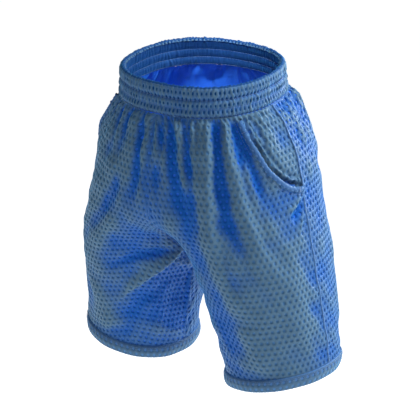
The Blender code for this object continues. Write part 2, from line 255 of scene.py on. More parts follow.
def garment_cage():
    """Cage of the whole garment, each face marked with its panel and its pattern place."""
    pattern = HalfPattern()
    bm = bmesh.new()
    layer = bm.loops.layers.uv.new("pattern")
    ring_layer = bm.loops.layers.uv.new("ring")
    verts = {}

    def vert(row, column, side):
        point = pattern.points[row, column]
        on_centre = abs(point.x) < 1e-6 or row < pattern.hips and column in (0, HALF_COLUMNS)
        key = (row, column, 1 if on_centre else side)
        if key not in verts:
            verts[key] = bm.verts.new((0.0 if on_centre else side * point.x, point.y, point.z))
        return verts[key]

    for side in (1, -1):
        for row in range(pattern.rows - 1):
            columns = HALF_COLUMNS if row < pattern.hips - 1 else LEG_COLUMNS
            for column in range(columns):
                after = (column + 1) % LEG_COLUMNS
                front = column < SIDE or column >= INSEAM
                corners = [(row + 1, column), (row + 1, after), (row, after), (row, column)]
                if side < 0:
                    corners.reverse()
                face = bm.faces.new([vert(r, c, side) for r, c in corners])
                face.material_index = (0 if front else 1) + (0 if side > 0 else 2)
                face.smooth = True
                for loop, (r, c) in zip(face.loops, corners):
                    across = (pattern.front if front else pattern.back)[r, c]
                    loop[layer].uv = (across, -pattern.down[r, c])
                    loop[ring_layer].uv = (pattern.to_middle(r, c), pattern.rows - 1 - r)
    mesh = bpy.data.meshes.new("garment_cage")
    bm.to_mesh(mesh)
    bm.free()
    return mesh


# ------------------------------------------------------------- folds in the cloth
FOLD_DEPTH = 1.6  # how deep the folds are, over their drawn heights
FOLD_BREADTH = 1.2  # how broad the folds are, over their drawn widths
FOLD_REACH = 3.6  # widths past which a fold adds nothing
FOLD_TAPER = 0.7  # how bluntly a fold ends, from 1, a sine, to 0, cut off


class Fold:
    """One fold: its height, its half width and its route over a half's pattern.

    A valley has a negative height. A fold that starts at the waistband has its
    full height there. Lean makes the side that lies to the left of the route
    steeper, from 0 to just under 1.
    """

    def __init__(self, height, width, *route, lean=0.0):
        self.height, self.width, self.lean = height, width, lean
        self.from_band = route[0][1] == 0.0
        self.path = smooth_route(route)

    def heights(self, across, down):
        """Height that the fold adds at each pattern place."""
        added = np.zeros(len(across))
        reach = FOLD_REACH * self.width
        low = self.path.min(axis=0) - reach
        high = self.path.max(axis=0) + reach
        near = np.where((across > low[0]) & (across < high[0])
                        & (down > low[1]) & (down < high[1]))[0]
        if len(near) == 0:
            return added
        distance, side, along = route_place(self.path, across[near], down[near])
        width = FOLD_BREADTH * self.width * (1.0 + self.lean * side)
        ends = np.sin(np.pi * (0.5 + 0.5 * along if self.from_band else along))
        added[near] = self.height * bell(distance, 0.0, width) * np.abs(ends) ** FOLD_TAPER
        return added


# Folds of the worn cloth. The places of a route are (across, down), in metres.
LEFT_FOLDS = (
    # from the centre front round to the pocket
    Fold(-0.003, 0.006, (0.268, 0.0), (0.273, 0.05), (0.276, 0.12)),
    Fold(-0.005, 0.009, (0.247, 0.0), (0.246, 0.07), (0.236, 0.13), (0.226, 0.18), (0.222, 0.26)),
    Fold(0.003, 0.008, (0.232, 0.0), (0.231, 0.08), (0.224, 0.15)),
    Fold(-0.0035, 0.007, (0.214, 0.0), (0.216, 0.08), (0.211, 0.17), (0.21, 0.24)),
    Fold(-0.0025, 0.005, (0.186, 0.0), (0.194, 0.05), (0.199, 0.11)),
    Fold(0.0065, 0.013, (0.166, 0.0), (0.176, 0.06), (0.184, 0.13), (0.187, 0.2),
         (0.181, 0.27), (0.165, 0.31), (0.132, 0.35), lean=-0.35),
    Fold(-0.0075, 0.01, (0.147, 0.0), (0.157, 0.05), (0.162, 0.1), (0.158, 0.15),
         (0.146, 0.2), (0.128, 0.26)),
    Fold(0.0055, 0.011, (0.128, 0.0), (0.139, 0.05), (0.134, 0.1), (0.125, 0.155),
         (0.113, 0.21), (0.09, 0.27), (0.068, 0.32), lean=-0.3),
    Fold(-0.0045, 0.006, (0.111, 0.0), (0.118, 0.06), (0.12, 0.1), (0.112, 0.15)),
    Fold(-0.004, 0.008, (0.104, 0.01), (0.106, 0.06), (0.098, 0.11), (0.083, 0.16)),
    # crinkles below the pocket's lower end
    Fold(0.003, 0.005, (0.012, 0.158), (0.028, 0.17), (0.048, 0.176)),
    Fold(-0.0025, 0.005, (0.01, 0.17), (0.024, 0.184), (0.04, 0.19)),
    Fold(0.0025, 0.005, (0.008, 0.182), (0.018, 0.2), (0.03, 0.215)),
    # down the lower leg
    Fold(0.004, 0.022, (0.055, 0.22), (0.06, 0.32), (0.05, 0.43)),
    Fold(0.004, 0.02, (0.15, 0.36), (0.14, 0.41), (0.12, 0.46)),
    Fold(-0.0028, 0.016, (0.205, 0.3), (0.2, 0.38), (0.185, 0.45)),
    # thin ridges between the gathers in front
    Fold(0.003, 0.007, (0.284, 0.0), (0.289, 0.05), (0.291, 0.1)),
    Fold(0.003, 0.006, (0.2, 0.0), (0.206, 0.06), (0.209, 0.13)),
    Fold(0.0028, 0.006, (0.258, 0.0), (0.26, 0.06), (0.256, 0.12)),
)
RIGHT_FOLDS = (
    # short gathers, and the hollow inside the leg
    Fold(-0.0028, 0.005, (0.172, 0.0), (0.186, 0.04), (0.198, 0.1)),
    Fold(-0.0026, 0.005, (0.14, 0.0), (0.148, 0.04), (0.152, 0.08)),
    Fold(-0.0024, 0.005, (0.108, 0.0), (0.112, 0.03), (0.112, 0.06)),
    Fold(-0.006, 0.028, (0.35, 0.315), (0.322, 0.38), (0.305, 0.455)),
    # down the centre front
    Fold(-0.003, 0.006, (0.3, 0.02), (0.304, 0.08), (0.306, 0.14)),
    Fold(0.0026, 0.006, (0.262, 0.0), (0.276, 0.05), (0.284, 0.12), (0.282, 0.18)),
    Fold(0.003, 0.008, (0.284, 0.0), (0.29, 0.05), (0.292, 0.11)),
    Fold(-0.003, 0.005, (0.205, 0.0), (0.213, 0.03), (0.226, 0.06)),
    Fold(-0.0055, 0.007, (0.25, 0.0), (0.262, 0.03), (0.27, 0.07), (0.273, 0.11), (0.268, 0.15)),
    Fold(0.004, 0.01, (0.232, 0.0), (0.245, 0.05), (0.25, 0.11), (0.238, 0.17)),
    # across the leg from the crotch
    Fold(-0.0035, 0.007, (0.35, 0.272), (0.3, 0.283), (0.25, 0.3), (0.2, 0.318)),
    Fold(0.006, 0.008, (0.36, 0.27), (0.317, 0.3), (0.258, 0.347), (0.2, 0.398), lean=0.4),
    Fold(-0.0034, 0.01, (0.35, 0.315), (0.287, 0.362), (0.235, 0.405), (0.2, 0.44)),
    # from the front round to the side
    Fold(0.003, 0.015, (0.225, 0.07), (0.19, 0.14), (0.13, 0.22)),
    Fold(-0.0035, 0.012, (0.235, 0.13), (0.19, 0.2), (0.12, 0.28)),
    Fold(0.003, 0.016, (0.245, 0.19), (0.19, 0.25), (0.12, 0.32)),
    # down the lower leg
    Fold(0.0035, 0.02, (0.15, 0.35), (0.165, 0.41), (0.17, 0.46)),
    Fold(-0.003, 0.018, (0.09, 0.3), (0.11, 0.38), (0.11, 0.44)),
)
BACK_FOLDS = (
    # down the seat
    Fold(-0.0035, 0.01, (-0.075, 0.0), (-0.085, 0.08), (-0.08, 0.18)),
    Fold(0.0028, 0.012, (-0.11, 0.0), (-0.12, 0.1), (-0.125, 0.22)),
    Fold(-0.0035, 0.01, (-0.15, 0.0), (-0.16, 0.09), (-0.17, 0.2)),
    Fold(0.0028, 0.012, (-0.19, 0.0), (-0.2, 0.1), (-0.225, 0.21)),
    # across and down the back of the leg
    Fold(-0.005, 0.013, (-0.33, 0.26), (-0.27, 0.285), (-0.19, 0.3)),
    Fold(0.0035, 0.01, (-0.335, 0.29), (-0.27, 0.33), (-0.19, 0.375)),
    Fold(-0.004, 0.015, (-0.32, 0.34), (-0.25, 0.39), (-0.18, 0.43)),
    Fold(0.002, 0.018, (-0.08, 0.25), (-0.09, 0.34), (-0.08, 0.44)),
    Fold(-0.0025, 0.016, (-0.13, 0.3), (-0.14, 0.38), (-0.125, 0.46)),
)
FOLDS = {LEFT: LEFT_FOLDS + BACK_FOLDS, RIGHT: RIGHT_FOLDS + BACK_FOLDS}

# Gathers below the waistband: spacing, reach and height of each size.
GATHERS = ((0.0130, 0.050, 0.0034), (0.0330, 0.170, 0.0036), (0.0640, 0.240, 0.0010))
GATHER_SEEDS = {LEFT: 11, RIGHT: 5}
GATHER_COUNT = 80  # more gathers than a half has
GATHER_STRENGTHS = (0.45, 1.55)  # least and most of the height
GATHER_LENGTHS = (0.55, 1.35)  # least and most of the reach
GATHER_MEAN = 0.6  # share of the height that the ridges add on the whole, taken off again
# Soft waves all over the cloth: length, height and direction in radians.
SOFT_WAVES = ((0.036, 0.0005, 0.4), (0.052, 0.0007, 1.9), (0.085, 0.0010, 1.1))
BAND_HOLD = 0.003  # way over which the cloth is held flat below the waistband
SIDE_HOLD = 0.060  # way over which the gathers grow beside the outseams
SIDE_SHARE = 0.35  # share of the gathers' height left on the outseams
FOLD_HOLD = 0.028  # way over which a fold reaches its depth below the waistband
FOLD_START = 0.15  # share of its depth that a fold has at the waistband
HEM_HOLD = 0.55  # way of holding the cloth above the hem, in rings of the cage
SEAM_HOLD = 0.13  # the same beside the middle seams, in columns of the cage
SEAM_GROOVE = 0.0006  # depth of the groove along the middle seams
SEAM_GROOVE_WIDTH = 0.12  # its half width, in columns of the cage


def gather_heights(across, down, seed):
    """Rounded ridges and sharp valleys that the waistband draws the cloth into."""
    random = np.random.RandomState(seed)
    total = np.zeros(len(across))
    for spacing, reach, height in GATHERS:
        shift, sway, drift, _ = random.uniform(-1.0, 1.0, 4)
        phase = across / spacing + GATHER_COUNT / 2 + 0.5 * shift
        phase += 0.35 * np.sin(2.25 * down / reach + 31.0 * across + 3.0 * sway)
        phase += 0.30 * np.sin(57.0 * across + 3.0 * drift)
        cell = np.clip(np.floor(phase).astype(int), 0, GATHER_COUNT - 1)
        strength = random.uniform(*GATHER_STRENGTHS, GATHER_COUNT)[cell]
        length = reach * random.uniform(*GATHER_LENGTHS, GATHER_COUNT)[cell]
        ridge = np.abs(np.sin(np.pi * phase)) ** 0.8 * strength * np.exp(-(down / length) ** 1.6)
        mean = GATHER_MEAN * np.exp(-(down / reach) ** 1.6)
        total += height * (ridge - mean) * ease(down / (0.45 * spacing))
    return total


def cloth_heights(name, across, down, to_middle, to_hem):
    """Height of the folded cloth over the smooth garment, for one panel's points."""
    half = name.split("_")[1]
    heights = gather_heights(across, down, GATHER_SEEDS[half])
    heights *= SIDE_SHARE + (1.0 - SIDE_SHARE) * ease(np.abs(across) / SIDE_HOLD)
    for fold in FOLDS[half]:
        heights += FOLD_DEPTH * fold.heights(across, down) * ease(FOLD_START + down / FOLD_HOLD)
    for length, height, turn in SOFT_WAVES:
        way = across * math.cos(turn) + down * math.sin(turn)
        bend = 1.5 * np.sin(across * 23.0 + down * 17.0)
        heights += height * np.sin(way * 2.0 * math.pi / length + 5.0 * turn + bend)
    held = ease(down / BAND_HOLD) * ease(to_hem / HEM_HOLD) * ease(to_middle / SEAM_HOLD)
    groove = SEAM_GROOVE * bell(to_middle, 0.0, SEAM_GROOVE_WIDTH) * ease(down / BAND_HOLD)
    return heights * held - groove


# ------------------------------------------------------------- cloth, flat and worn
def read(collection, name, size, kind=float):
    """One property of every item in a collection, as a numpy array."""
    values = np.zeros(len(collection) * size, dtype=kind)
    collection.foreach_get(name, values)
    return values.reshape(-1, size) if size > 1 else values


def vertex_normals(points, faces):
    """Unit normals at the points, weighted by the faces' areas."""
    a, b, c, d = (points[faces[:, corner]] for corner in range(4))
    areas = np.cross(c - a, d - b)
    total = np.zeros_like(points)
    for corner in range(4):
        for axis in range(3):
            total[:, axis] += np.bincount(faces[:, corner], areas[:, axis], len(points))
    return total / np.maximum(np.linalg.norm(total, axis=1), 1e-12)[:, None]


class Sheet:
    """A cut of cloth as it was laid flat and as it is worn: the same points, two shapes."""

    def __init__(self, flat, worn, faces, ridge=None):
        self.flat, self.worn, self.faces = flat, worn, faces
        # ridge is each point's painted light, from 0, painted shade, to 1, painted highlight.
        self.ridge = np.full(len(flat), 0.5) if ridge is None else ridge
        self.facing = vertex_normals(worn, faces)

    @classmethod
    def grid(cls, flat, worn, ridge=None):
        """Sheet of a grid of points, rows first. Its outside is to the left of its rows."""
        rows, columns = worn.shape[:2]
        index = np.arange(rows * columns).reshape(rows, columns)
        faces = np.stack([index[:-1, :-1], index[:-1, 1:], index[1:, 1:], index[1:, :-1]], axis=-1)
        return cls(flat.reshape(-1, 2), worn.reshape(-1, 3), faces.reshape(-1, 4),
                   None if ridge is None else ridge.ravel())

    def moved(self, height):
        """The same cut lying higher, or lower, by one height or by each point's."""
        height = np.broadcast_to(height, len(self.flat))
        return Sheet(self.flat, self.worn + self.facing * height[:, None], self.faces, self.ridge)

    def mesh(self, name):
        """Mesh of the worn shape, with its pattern place as its UV map."""
        mesh = bpy.data.meshes.new(name)
        mesh.from_pydata(self.worn.tolist(), [], self.faces.tolist())
        layer = mesh.uv_layers.new(name="pattern")
        layer.uv.foreach_set("vector", self.flat[self.faces.ravel()].ravel())
        self._mark(mesh, "ridge", "FLOAT", self.ridge)
        mesh.shade_smooth()
        return mesh

    def flat_mesh(self):
        """Mesh of the flat cut that carries the worn shape as attributes."""
        mesh = bpy.data.meshes.new("flat_cut")
        laid = np.column_stack([self.flat, np.zeros(len(self.flat))])
        mesh.from_pydata(laid.tolist(), [], self.faces.tolist())
        self._mark(mesh, "worn", "FLOAT_VECTOR", self.worn)
        self._mark(mesh, "facing", "FLOAT_VECTOR", self.facing)
        self._mark(mesh, "ridge", "FLOAT", self.ridge)
        return mesh

    @staticmethod
    def _mark(mesh, name, kind, values):
        made = mesh.attributes.new(name, kind, "POINT")
        made.data.foreach_set("vector" if kind == "FLOAT_VECTOR" else "value", values.ravel())

    def turned_over(self):
        """Whether the worn shape shows the flat cut's other side."""
        return float(self.flat_areas().sum()) < 0.0

    def flat_areas(self):
        """Area of each face of the flat cut, below 0 where the face is turned over."""
        a, b, c, d = (self.flat[self.faces[:, i]] for i in range(4))
        first, second = c - a, d - b
        return (first[:, 0] * second[:, 1] - first[:, 1] * second[:, 0]) / 2.0

    def lay(self, places):
        """Worn points and their normals at (across, down) places."""
        laid = [(x, y, 0.0) for x, y in self.flat]
        polygons = self.faces.tolist()
        tree = BVHTree.FromPolygons(laid, polygons)
        points, normals = [], []
        for across, down in places:
            spot, _, index, _ = tree.find_nearest((across, -down, 0.0))
            corners = polygons[index]
            weights = poly_3d_calc([Vector(laid[i]) for i in corners], spot)
            point, normal = (
                sum((Vector(values[i]) * w for i, w in zip(corners, weights)), Vector())
                for values in (self.worn, self.facing))
            points.append(point)
            normals.append(normal.normalized())
        return points, normals


# Painted light: how pale the worn cloth is painted, from 0, blue, to 1, pale. The pale
# grey-blue is a painted highlight where the cloth faces the lights, on fold crests and in
# front; the blue shows as painted shade on fold flanks, in valleys and at the sides. A place's
# turn is the way it faces, in degrees: 0 is straight ahead, 90 the side and 180 behind.
PAINTED_LIGHT_MEAN = 0.50
FLANK_SHADE = 0.6  # how much bluer the folds' sides are than their crests
CREST_HIGHLIGHT_HEIGHT = 0.0075  # height of a fold that turns blue cloth pale
HIGHLIGHT_TURN = 46.0  # turn at which the cloth is palest
HIGHLIGHT_SPREAD = 32.0  # turn over which that fades
HIGHLIGHT_GAIN = 0.55  # how much paler the cloth is there
FRONT_HIGHLIGHT_LOSS = 0.35  # share of that gain that the whole front gives back
FRONT_HIGHLIGHT = 0.05  # how much paler the front is than the back
BACK_TURN = 150.0  # turn past which the cloth counts as behind
BACK_FADE = 60.0  # turn over which it comes to count so
BACK_LIGHT_CONTRAST = 0.4  # how strongly the folds show behind, over in front


def paleness(turn, heights, steep):
    """Painted light of the cloth at each point: painted highlight from its turn and fold height,
    painted shade from fold steepness.
    """
    front = ease((BACK_TURN - np.abs(turn)) / BACK_FADE)
    contrast = BACK_LIGHT_CONTRAST + (1.0 - BACK_LIGHT_CONTRAST) * front
    ahead = HIGHLIGHT_GAIN * (bell(turn, HIGHLIGHT_TURN, HIGHLIGHT_SPREAD) - FRONT_HIGHLIGHT_LOSS * front)
    folds = heights * contrast / CREST_HIGHLIGHT_HEIGHT - FLANK_SHADE * steep
    return np.clip(PAINTED_LIGHT_MEAN + FRONT_HIGHLIGHT * front + folds + ahead, 0.0, 1.0)


def smooth_cage(levels):
    """The cage subdivided: its points, normals, faces, panel numbers and pattern places."""
    holder = bpy.data.objects.new("garment_cage", garment_cage())
    bpy.context.collection.objects.link(holder)
    smooth = holder.modifiers.new("smooth", "SUBSURF")
    smooth.levels = smooth.render_levels = levels
    smooth.uv_smooth = "SMOOTH_ALL"
    graph = bpy.context.evaluated_depsgraph_get()
    mesh = bpy.data.meshes.new_from_object(holder.evaluated_get(graph))
    points = read(mesh.vertices, "co", 3)
    normals = read(mesh.vertices, "normal", 3)
    faces = read(mesh.loops, "vertex_index", 1, np.int32).reshape(-1, 4)
    panels = read(mesh.polygons, "material_index", 1, np.int32)
    places = np.column_stack([read(mesh.uv_layers[name].uv, "vector", 2)
                              for name in ("pattern", "ring")]).reshape(-1, 4, 4)
    cage = holder.data
    bpy.data.objects.remove(holder)
    bpy.data.meshes.remove(cage)
    bpy.data.meshes.remove(mesh)
    return points, normals, faces, panels, places


class Cloth:
    """The whole worn garment as one smooth surface with folds."""

    def __init__(self, levels):
        points, normals, self.faces, self.panel, places = smooth_cage(levels)
        self.place = np.full((len(PANELS), len(points), 4), np.nan)
        total, share = np.zeros(len(points)), np.zeros(len(points))
        for number, name in enumerate(PANELS):
            mine = self.panel == number
            self.place[number, self.faces[mine].ravel()] = places[mine].reshape(-1, 4)
            here = np.where(~np.isnan(self.place[number, :, 0]))[0]
            across, down, to_middle, to_hem = self.place[number, here].T
            total[here] += cloth_heights(name, across, -down, to_middle, to_hem)
            share[here] += 1.0
        heights = total / share
        self.worn = points + normals * heights[:, None]
        self.facing = vertex_normals(self.worn, self.faces)
        steep = 1.0 - (self.facing * normals).sum(axis=1)
        outwards = normals[:, 0] * np.sign(points[:, 0])
        turn = np.degrees(np.arctan2(outwards, -normals[:, 1]))
        # ridge holds the painted light: painted highlight where the cloth faces the lights and on
        # crests, painted shade on flanks and in valleys.
        self.ridge = paleness(turn, heights, steep)

    def cut(self, name, keep=None, height=None):
        """One panel, or the part of it that keep(across, down) holds, as a sheet.

        Height gives how far its places stand out. A place that doesn't faces as it
        does in the whole cloth, so that neighbouring cuts meet without a gap.
        """
        number = PANELS.index(name)
        faces = self.faces[self.panel == number]
        place = self.place[number]
        if keep is not None:
            middle = place[faces].mean(axis=1)
            faces = faces[keep(middle[:, 0], -middle[:, 1])]
        used, compact = np.unique(faces, return_inverse=True)
        flat = place[used, :2]
        made = Sheet(flat, self.worn[used], compact.reshape(-1, 4), self.ridge[used])
        if height is None:
            made.facing = self.facing[used]
            return made
        lift = height(flat[:, 0], -flat[:, 1])
        made = made.moved(lift)
        made.facing[lift == 0.0] = self.facing[used][lift == 0.0]
        return made


# ------------------------------------------------------------- node trees
class Term:
    """A socket that Python's operators work on; each one adds a Math node."""

    def __init__(self, tree, socket):
        self.tree, self.socket = tree, socket

    def maths(self, operation, *values):
        return self.tree.node("ShaderNodeMath", {"operation": operation},
                              dict(enumerate((self, *values))))

    def __add__(self, other):
        return self.maths("ADD", other)

    __radd__ = __add__

    def __mul__(self, other):
        return self.maths("MULTIPLY", other)

    __rmul__ = __mul__

    def __sub__(self, other):
        return self.maths("SUBTRACT", other)

    def __rsub__(self, other):
        return (self * -1.0) + other

    def __truediv__(self, other):
        return self.maths("DIVIDE", other)


class NodeTree:
    """A node tree that is built one call at a time."""

    def __init__(self, tree):
        self.tree = tree
        tree.nodes.clear()

    def node(self, kind, settings=None, values=None, output=0):
        """Add a node, first its settings, then its sockets; gives one of its outputs."""
        made = self.tree.nodes.new(kind)
        for name, value in (settings or {}).items():
            setattr(made, name, value)
        for name, value in (values or {}).items():
            socket = made.inputs[name]
            if isinstance(value, Term):
                self.tree.links.new(value.socket, socket)
            else:
                socket.default_value = value
        return Term(self, made.outputs[output]) if len(made.outputs) else None

    def also(self, term, output):
        """Another output of the node that a term came from."""
        return Term(self, term.socket.node.outputs[output])


class GeometryTree(NodeTree):
    """Geometry Nodes with named inputs and one geometry output."""

    def __init__(self, name, inputs):
        tree = bpy.data.node_groups.new(name, "GeometryNodeTree")
        super().__init__(tree)
        self.names = {}
        for label, kind in inputs:
            made = tree.interface.new_socket(label, in_out="INPUT",
                                             socket_type="NodeSocket" + kind)
            self.names[label] = made.identifier
        tree.interface.new_socket("Geometry", in_out="OUTPUT", socket_type="NodeSocketGeometry")
        self.start = tree.nodes.new("NodeGroupInput")
        self.end = tree.nodes.new("NodeGroupOutput")

    def given(self, label):
        return Term(self, self.start.outputs[label])

    def finish(self, geometry):
        self.tree.links.new(geometry.socket, self.end.inputs[0])

    def vector(self, operation, *values, output=0):
        return self.node("ShaderNodeVectorMath", {"operation": operation},
                         dict(enumerate(values)), output)

    def attribute(self, name, kind="FLOAT"):
        return self.node("GeometryNodeInputNamedAttribute", {"data_type": kind}, {"Name": name})

    def store(self, geometry, name, value, kind="FLOAT", domain="POINT"):
        return self.node("GeometryNodeStoreNamedAttribute", {"data_type": kind, "domain": domain},
                         {"Geometry": geometry, "Name": name, "Value": value})

    def made(self, name, source, values):
        """Plain mesh object of what the tree makes of a source mesh or curve."""
        holder = bpy.data.objects.new(name + "_source", source)
        bpy.context.collection.objects.link(holder)
        modifier = holder.modifiers.new("nodes", "NODES")
        modifier.node_group = self.tree
        for label, value in values.items():
            modifier[self.names[label]] = value
        graph = bpy.context.evaluated_depsgraph_get()
        mesh = bpy.data.meshes.new_from_object(holder.evaluated_get(graph))
        mesh.name = name
        bpy.data.objects.remove(holder)
        return placed(name, mesh)


def placed(name, mesh, material=None):
    """Object for a finished mesh, at the origin."""
    made = bpy.data.objects.new(name, mesh)
    bpy.context.collection.objects.link(made)
    if material is not None:
        mesh.materials.clear()
        mesh.materials.append(material)
    return made


# ------------------------------------------------------------- net and stitches
NET_DEPTH = 0.0009  # depth of the net's holes
MERGE = 0.0001  # distance within which the points of neighbouring cells are joined
WHOLE_FACE = 0.999  # a face goes when this share of its corners lies off the cut
SPARE_CELLS = 3.0  # cells past the cut in each direction
RIM_STEPS = 3  # edges along each side of a cell's hexagon
WELL_RINGS = ((1.16, 0.22), (1.0, 0.62), (0.86, 1.0))  # size over the hole's, share of depth


def net_grid(tree, cut, across, down):
    """Points over the flat cut's box, every other row shifted by half a cell."""
    low = tree.node("GeometryNodeBoundBox", None, {"Geometry": cut}, "Min")
    high = tree.also(low, "Max")
    low_x, high_x = (tree.node("ShaderNodeSeparateXYZ", None, {0: v}) for v in (low, high))
    low_y, high_y = tree.also(low_x, 1), tree.also(high_x, 1)
    count_x = ((high_x - low_x) / across).maths("CEIL") + SPARE_CELLS
    count_y = ((high_y - low_y) / down).maths("CEIL") + SPARE_CELLS
    wide, long = (count_x - 1.0) * across, (count_y - 1.0) * down
    grid = tree.node("GeometryNodeMeshGrid", None, {
        "Size X": wide, "Size Y": long, "Vertices X": count_x, "Vertices Y": count_y})
    spot = tree.node("ShaderNodeSeparateXYZ", None, {0: tree.node("GeometryNodeInputPosition")})
    row = ((tree.also(spot, 1) + long * 0.5) / down + 0.25).maths("FLOOR")
    stagger = row.maths("MODULO", 2.0) * across * 0.5
    shift = tree.node("ShaderNodeCombineXYZ", None,
                      {0: low_x - across + wide * 0.5 + stagger, 1: low_y - down + long * 0.5})
    return tree.node("GeometryNodeSetPosition", None, {"Geometry": grid, "Offset": shift})


def net_tree():
    """Staggered net cells laid over a flat cut, then carried onto the worn cloth."""
    tree = GeometryTree("net_cells", (
        ("Geometry", "Geometry"), ("Cell", "Object"), ("Pitch Across", "Float"),
        ("Pitch Down", "Float"), ("Turn Over", "Bool"), ("Material", "Material")))
    cut, across, down = (tree.given(n) for n in ("Geometry", "Pitch Across", "Pitch Down"))
    grid = net_grid(tree, cut, across, down)
    cell = tree.node("GeometryNodeObjectInfo", None, {"Object": tree.given("Cell")}, "Geometry")
    cells = tree.node("GeometryNodeInstanceOnPoints", None, {"Points": grid, "Instance": cell})
    cells = tree.node("GeometryNodeRealizeInstances", None, {"Geometry": cells})
    cells = tree.node("GeometryNodeMergeByDistance", None, {"Geometry": cells, "Distance": MERGE})

    place = tree.node("GeometryNodeInputPosition")
    height = tree.also(tree.node("ShaderNodeSeparateXYZ", None, {0: place}), 2)
    flat = tree.vector("MULTIPLY", place, (1.0, 1.0, 0.0))
    near = tree.node("GeometryNodeProximity", {"target_element": "FACES"},
                     {"Geometry": cut, "Sample Position": flat}, "Distance")
    outside = near.maths("GREATER_THAN", MERGE * 0.1)
    cells = tree.store(cells, "outside", outside)
    gone = tree.attribute("outside").maths("GREATER_THAN", WHOLE_FACE)
    cells = tree.node("GeometryNodeDeleteGeometry", {"domain": "FACE"},
                      {"Geometry": cells, "Selection": gone})
    cells = tree.store(cells, "pattern", flat, "FLOAT2", "CORNER")
    cells = tree.store(cells, "depth", height * (-1.0 / NET_DEPTH))
    carried = {}
    for name, kind in (("worn", "FLOAT_VECTOR"), ("facing", "FLOAT_VECTOR"), ("ridge", "FLOAT")):
        carried[name] = tree.node("GeometryNodeSampleNearestSurface", {"data_type": kind},
                                  {"Mesh": cut, "Value": tree.attribute(name, kind),
                                   "Sample Position": flat})
    # The ridge attribute carries the painted light of the cloth onto the net's cells.
    cells = tree.store(cells, "ridge", carried["ridge"])
    rise = tree.vector("SCALE", carried["facing"])
    tree.tree.links.new(height.socket, rise.socket.node.inputs["Scale"])
    cells = tree.node("GeometryNodeSetPosition", None,
                      {"Geometry": cells, "Position": tree.vector("ADD", carried["worn"], rise)})
    cells = tree.node("GeometryNodeFlipFaces", None,
                      {"Mesh": cells, "Selection": tree.given("Turn Over")})
    cells = tree.node("GeometryNodeRemoveAttribute", None, {"Geometry": cells, "Name": "outside"})
    cells = tree.node("GeometryNodeSetShadeSmooth", None, {"Geometry": cells})
    cells = tree.node("GeometryNodeRealizeInstances", None, {"Geometry": cells})
    tree.finish(tree.node("GeometryNodeSetMaterial", None,
                          {"Geometry": cells, "Material": tree.given("Material")}))
    return tree


def cell_mesh(net):
    """One cell of the net: a hexagon of strand round an oval well, open at its bottom."""
    half, row = net.pitch_across / 2.0, net.pitch_down
    corner = (row * row - half * half) / (2.0 * row)
    tip = (row * row + half * half) / (2.0 * row)
    corners = [(half, -corner), (half, corner), (0.0, tip), (-half, corner), (-half, -corner),
               (0.0, -tip)]
    rim = []
    for i, (x, y) in enumerate(corners):
        after = corners[(i + 1) % len(corners)]
        for step in range(RIM_STEPS):
            t = step / RIM_STEPS
            rim.append((x + t * (after[0] - x), y + t * (after[1] - y)))
    rings = [[(x, y, 0.0) for x, y in rim]]
    for grow, drop in WELL_RINGS:
        ring = []
        for x, y in rim:
            angle = math.atan2(y * net.hole_width, x * net.hole_height)
            ring.append((0.5 * grow * net.hole_width * math.cos(angle),
                         0.5 * grow * net.hole_height * math.sin(angle), -drop * NET_DEPTH))
        rings.append(ring)
    count = len(rim)
    faces = []
    for ring in range(0, len(WELL_RINGS) * count, count):
        for i in range(count):
            j = (i + 1) % count
            faces.append((ring + i, ring + j, ring + count + j, ring + count + i))
    mesh = bpy.data.meshes.new("net_cell")
    mesh.from_pydata([point for ring in rings for point in ring], [], faces)
    return mesh


def stitch_tree():
    """Thread stitches along a curve, each one turned from the curve's run by an angle."""
    tree = GeometryTree("stitches", (
        ("Geometry", "Geometry"), ("Pitch", "Float"), ("Length", "Float"), ("Width", "Float"),
        ("Turn", "Float"), ("Material", "Material")))
    width = tree.given("Width")
    points = tree.node("GeometryNodeCurveToPoints", {"mode": "LENGTH"},
                       {"Curve": tree.given("Geometry"), "Length": tree.given("Pitch")})
    turned = tree.node("FunctionNodeRotateRotation", {"rotation_space": "LOCAL"},
                       {0: tree.also(points, "Rotation"),
                        1: tree.node("ShaderNodeCombineXYZ", None, {1: tree.given("Turn")})})
    stitch = tree.node("GeometryNodeMeshUVSphere", None,
                       {"Segments": 6, "Rings": 5, "Radius": 0.5})
    size = tree.node("ShaderNodeCombineXYZ", None, {0: width, 1: width, 2: tree.given("Length")})
    rows = tree.node("GeometryNodeInstanceOnPoints", None,
                     {"Points": points, "Instance": stitch, "Rotation": turned, "Scale": size})
    rows = tree.node("GeometryNodeRealizeInstances", None, {"Geometry": rows})
    rows = tree.node("GeometryNodeSetShadeSmooth", None, {"Geometry": rows})
    tree.finish(tree.node("GeometryNodeSetMaterial", None,
                          {"Geometry": rows, "Material": tree.given("Material")}))
    return tree


# ------------------------------------------------------------- finishes
CLOTH_SHEEN = {"Sheen Weight": 0.5, "Sheen Roughness": 0.4, "Sheen Tint": (0.05, 0.48, 1.0, 1.0),
               "Specular IOR Level": 0.35, "Specular Tint": (0.15, 0.55, 1.0, 1.0)}
PALE_PATCHES = 0.24  # how much soft patches shift the paleness of the cloth


def opaque(colour):
    """A colour property as the RGBA of a socket."""
    return (*colour, 1.0)


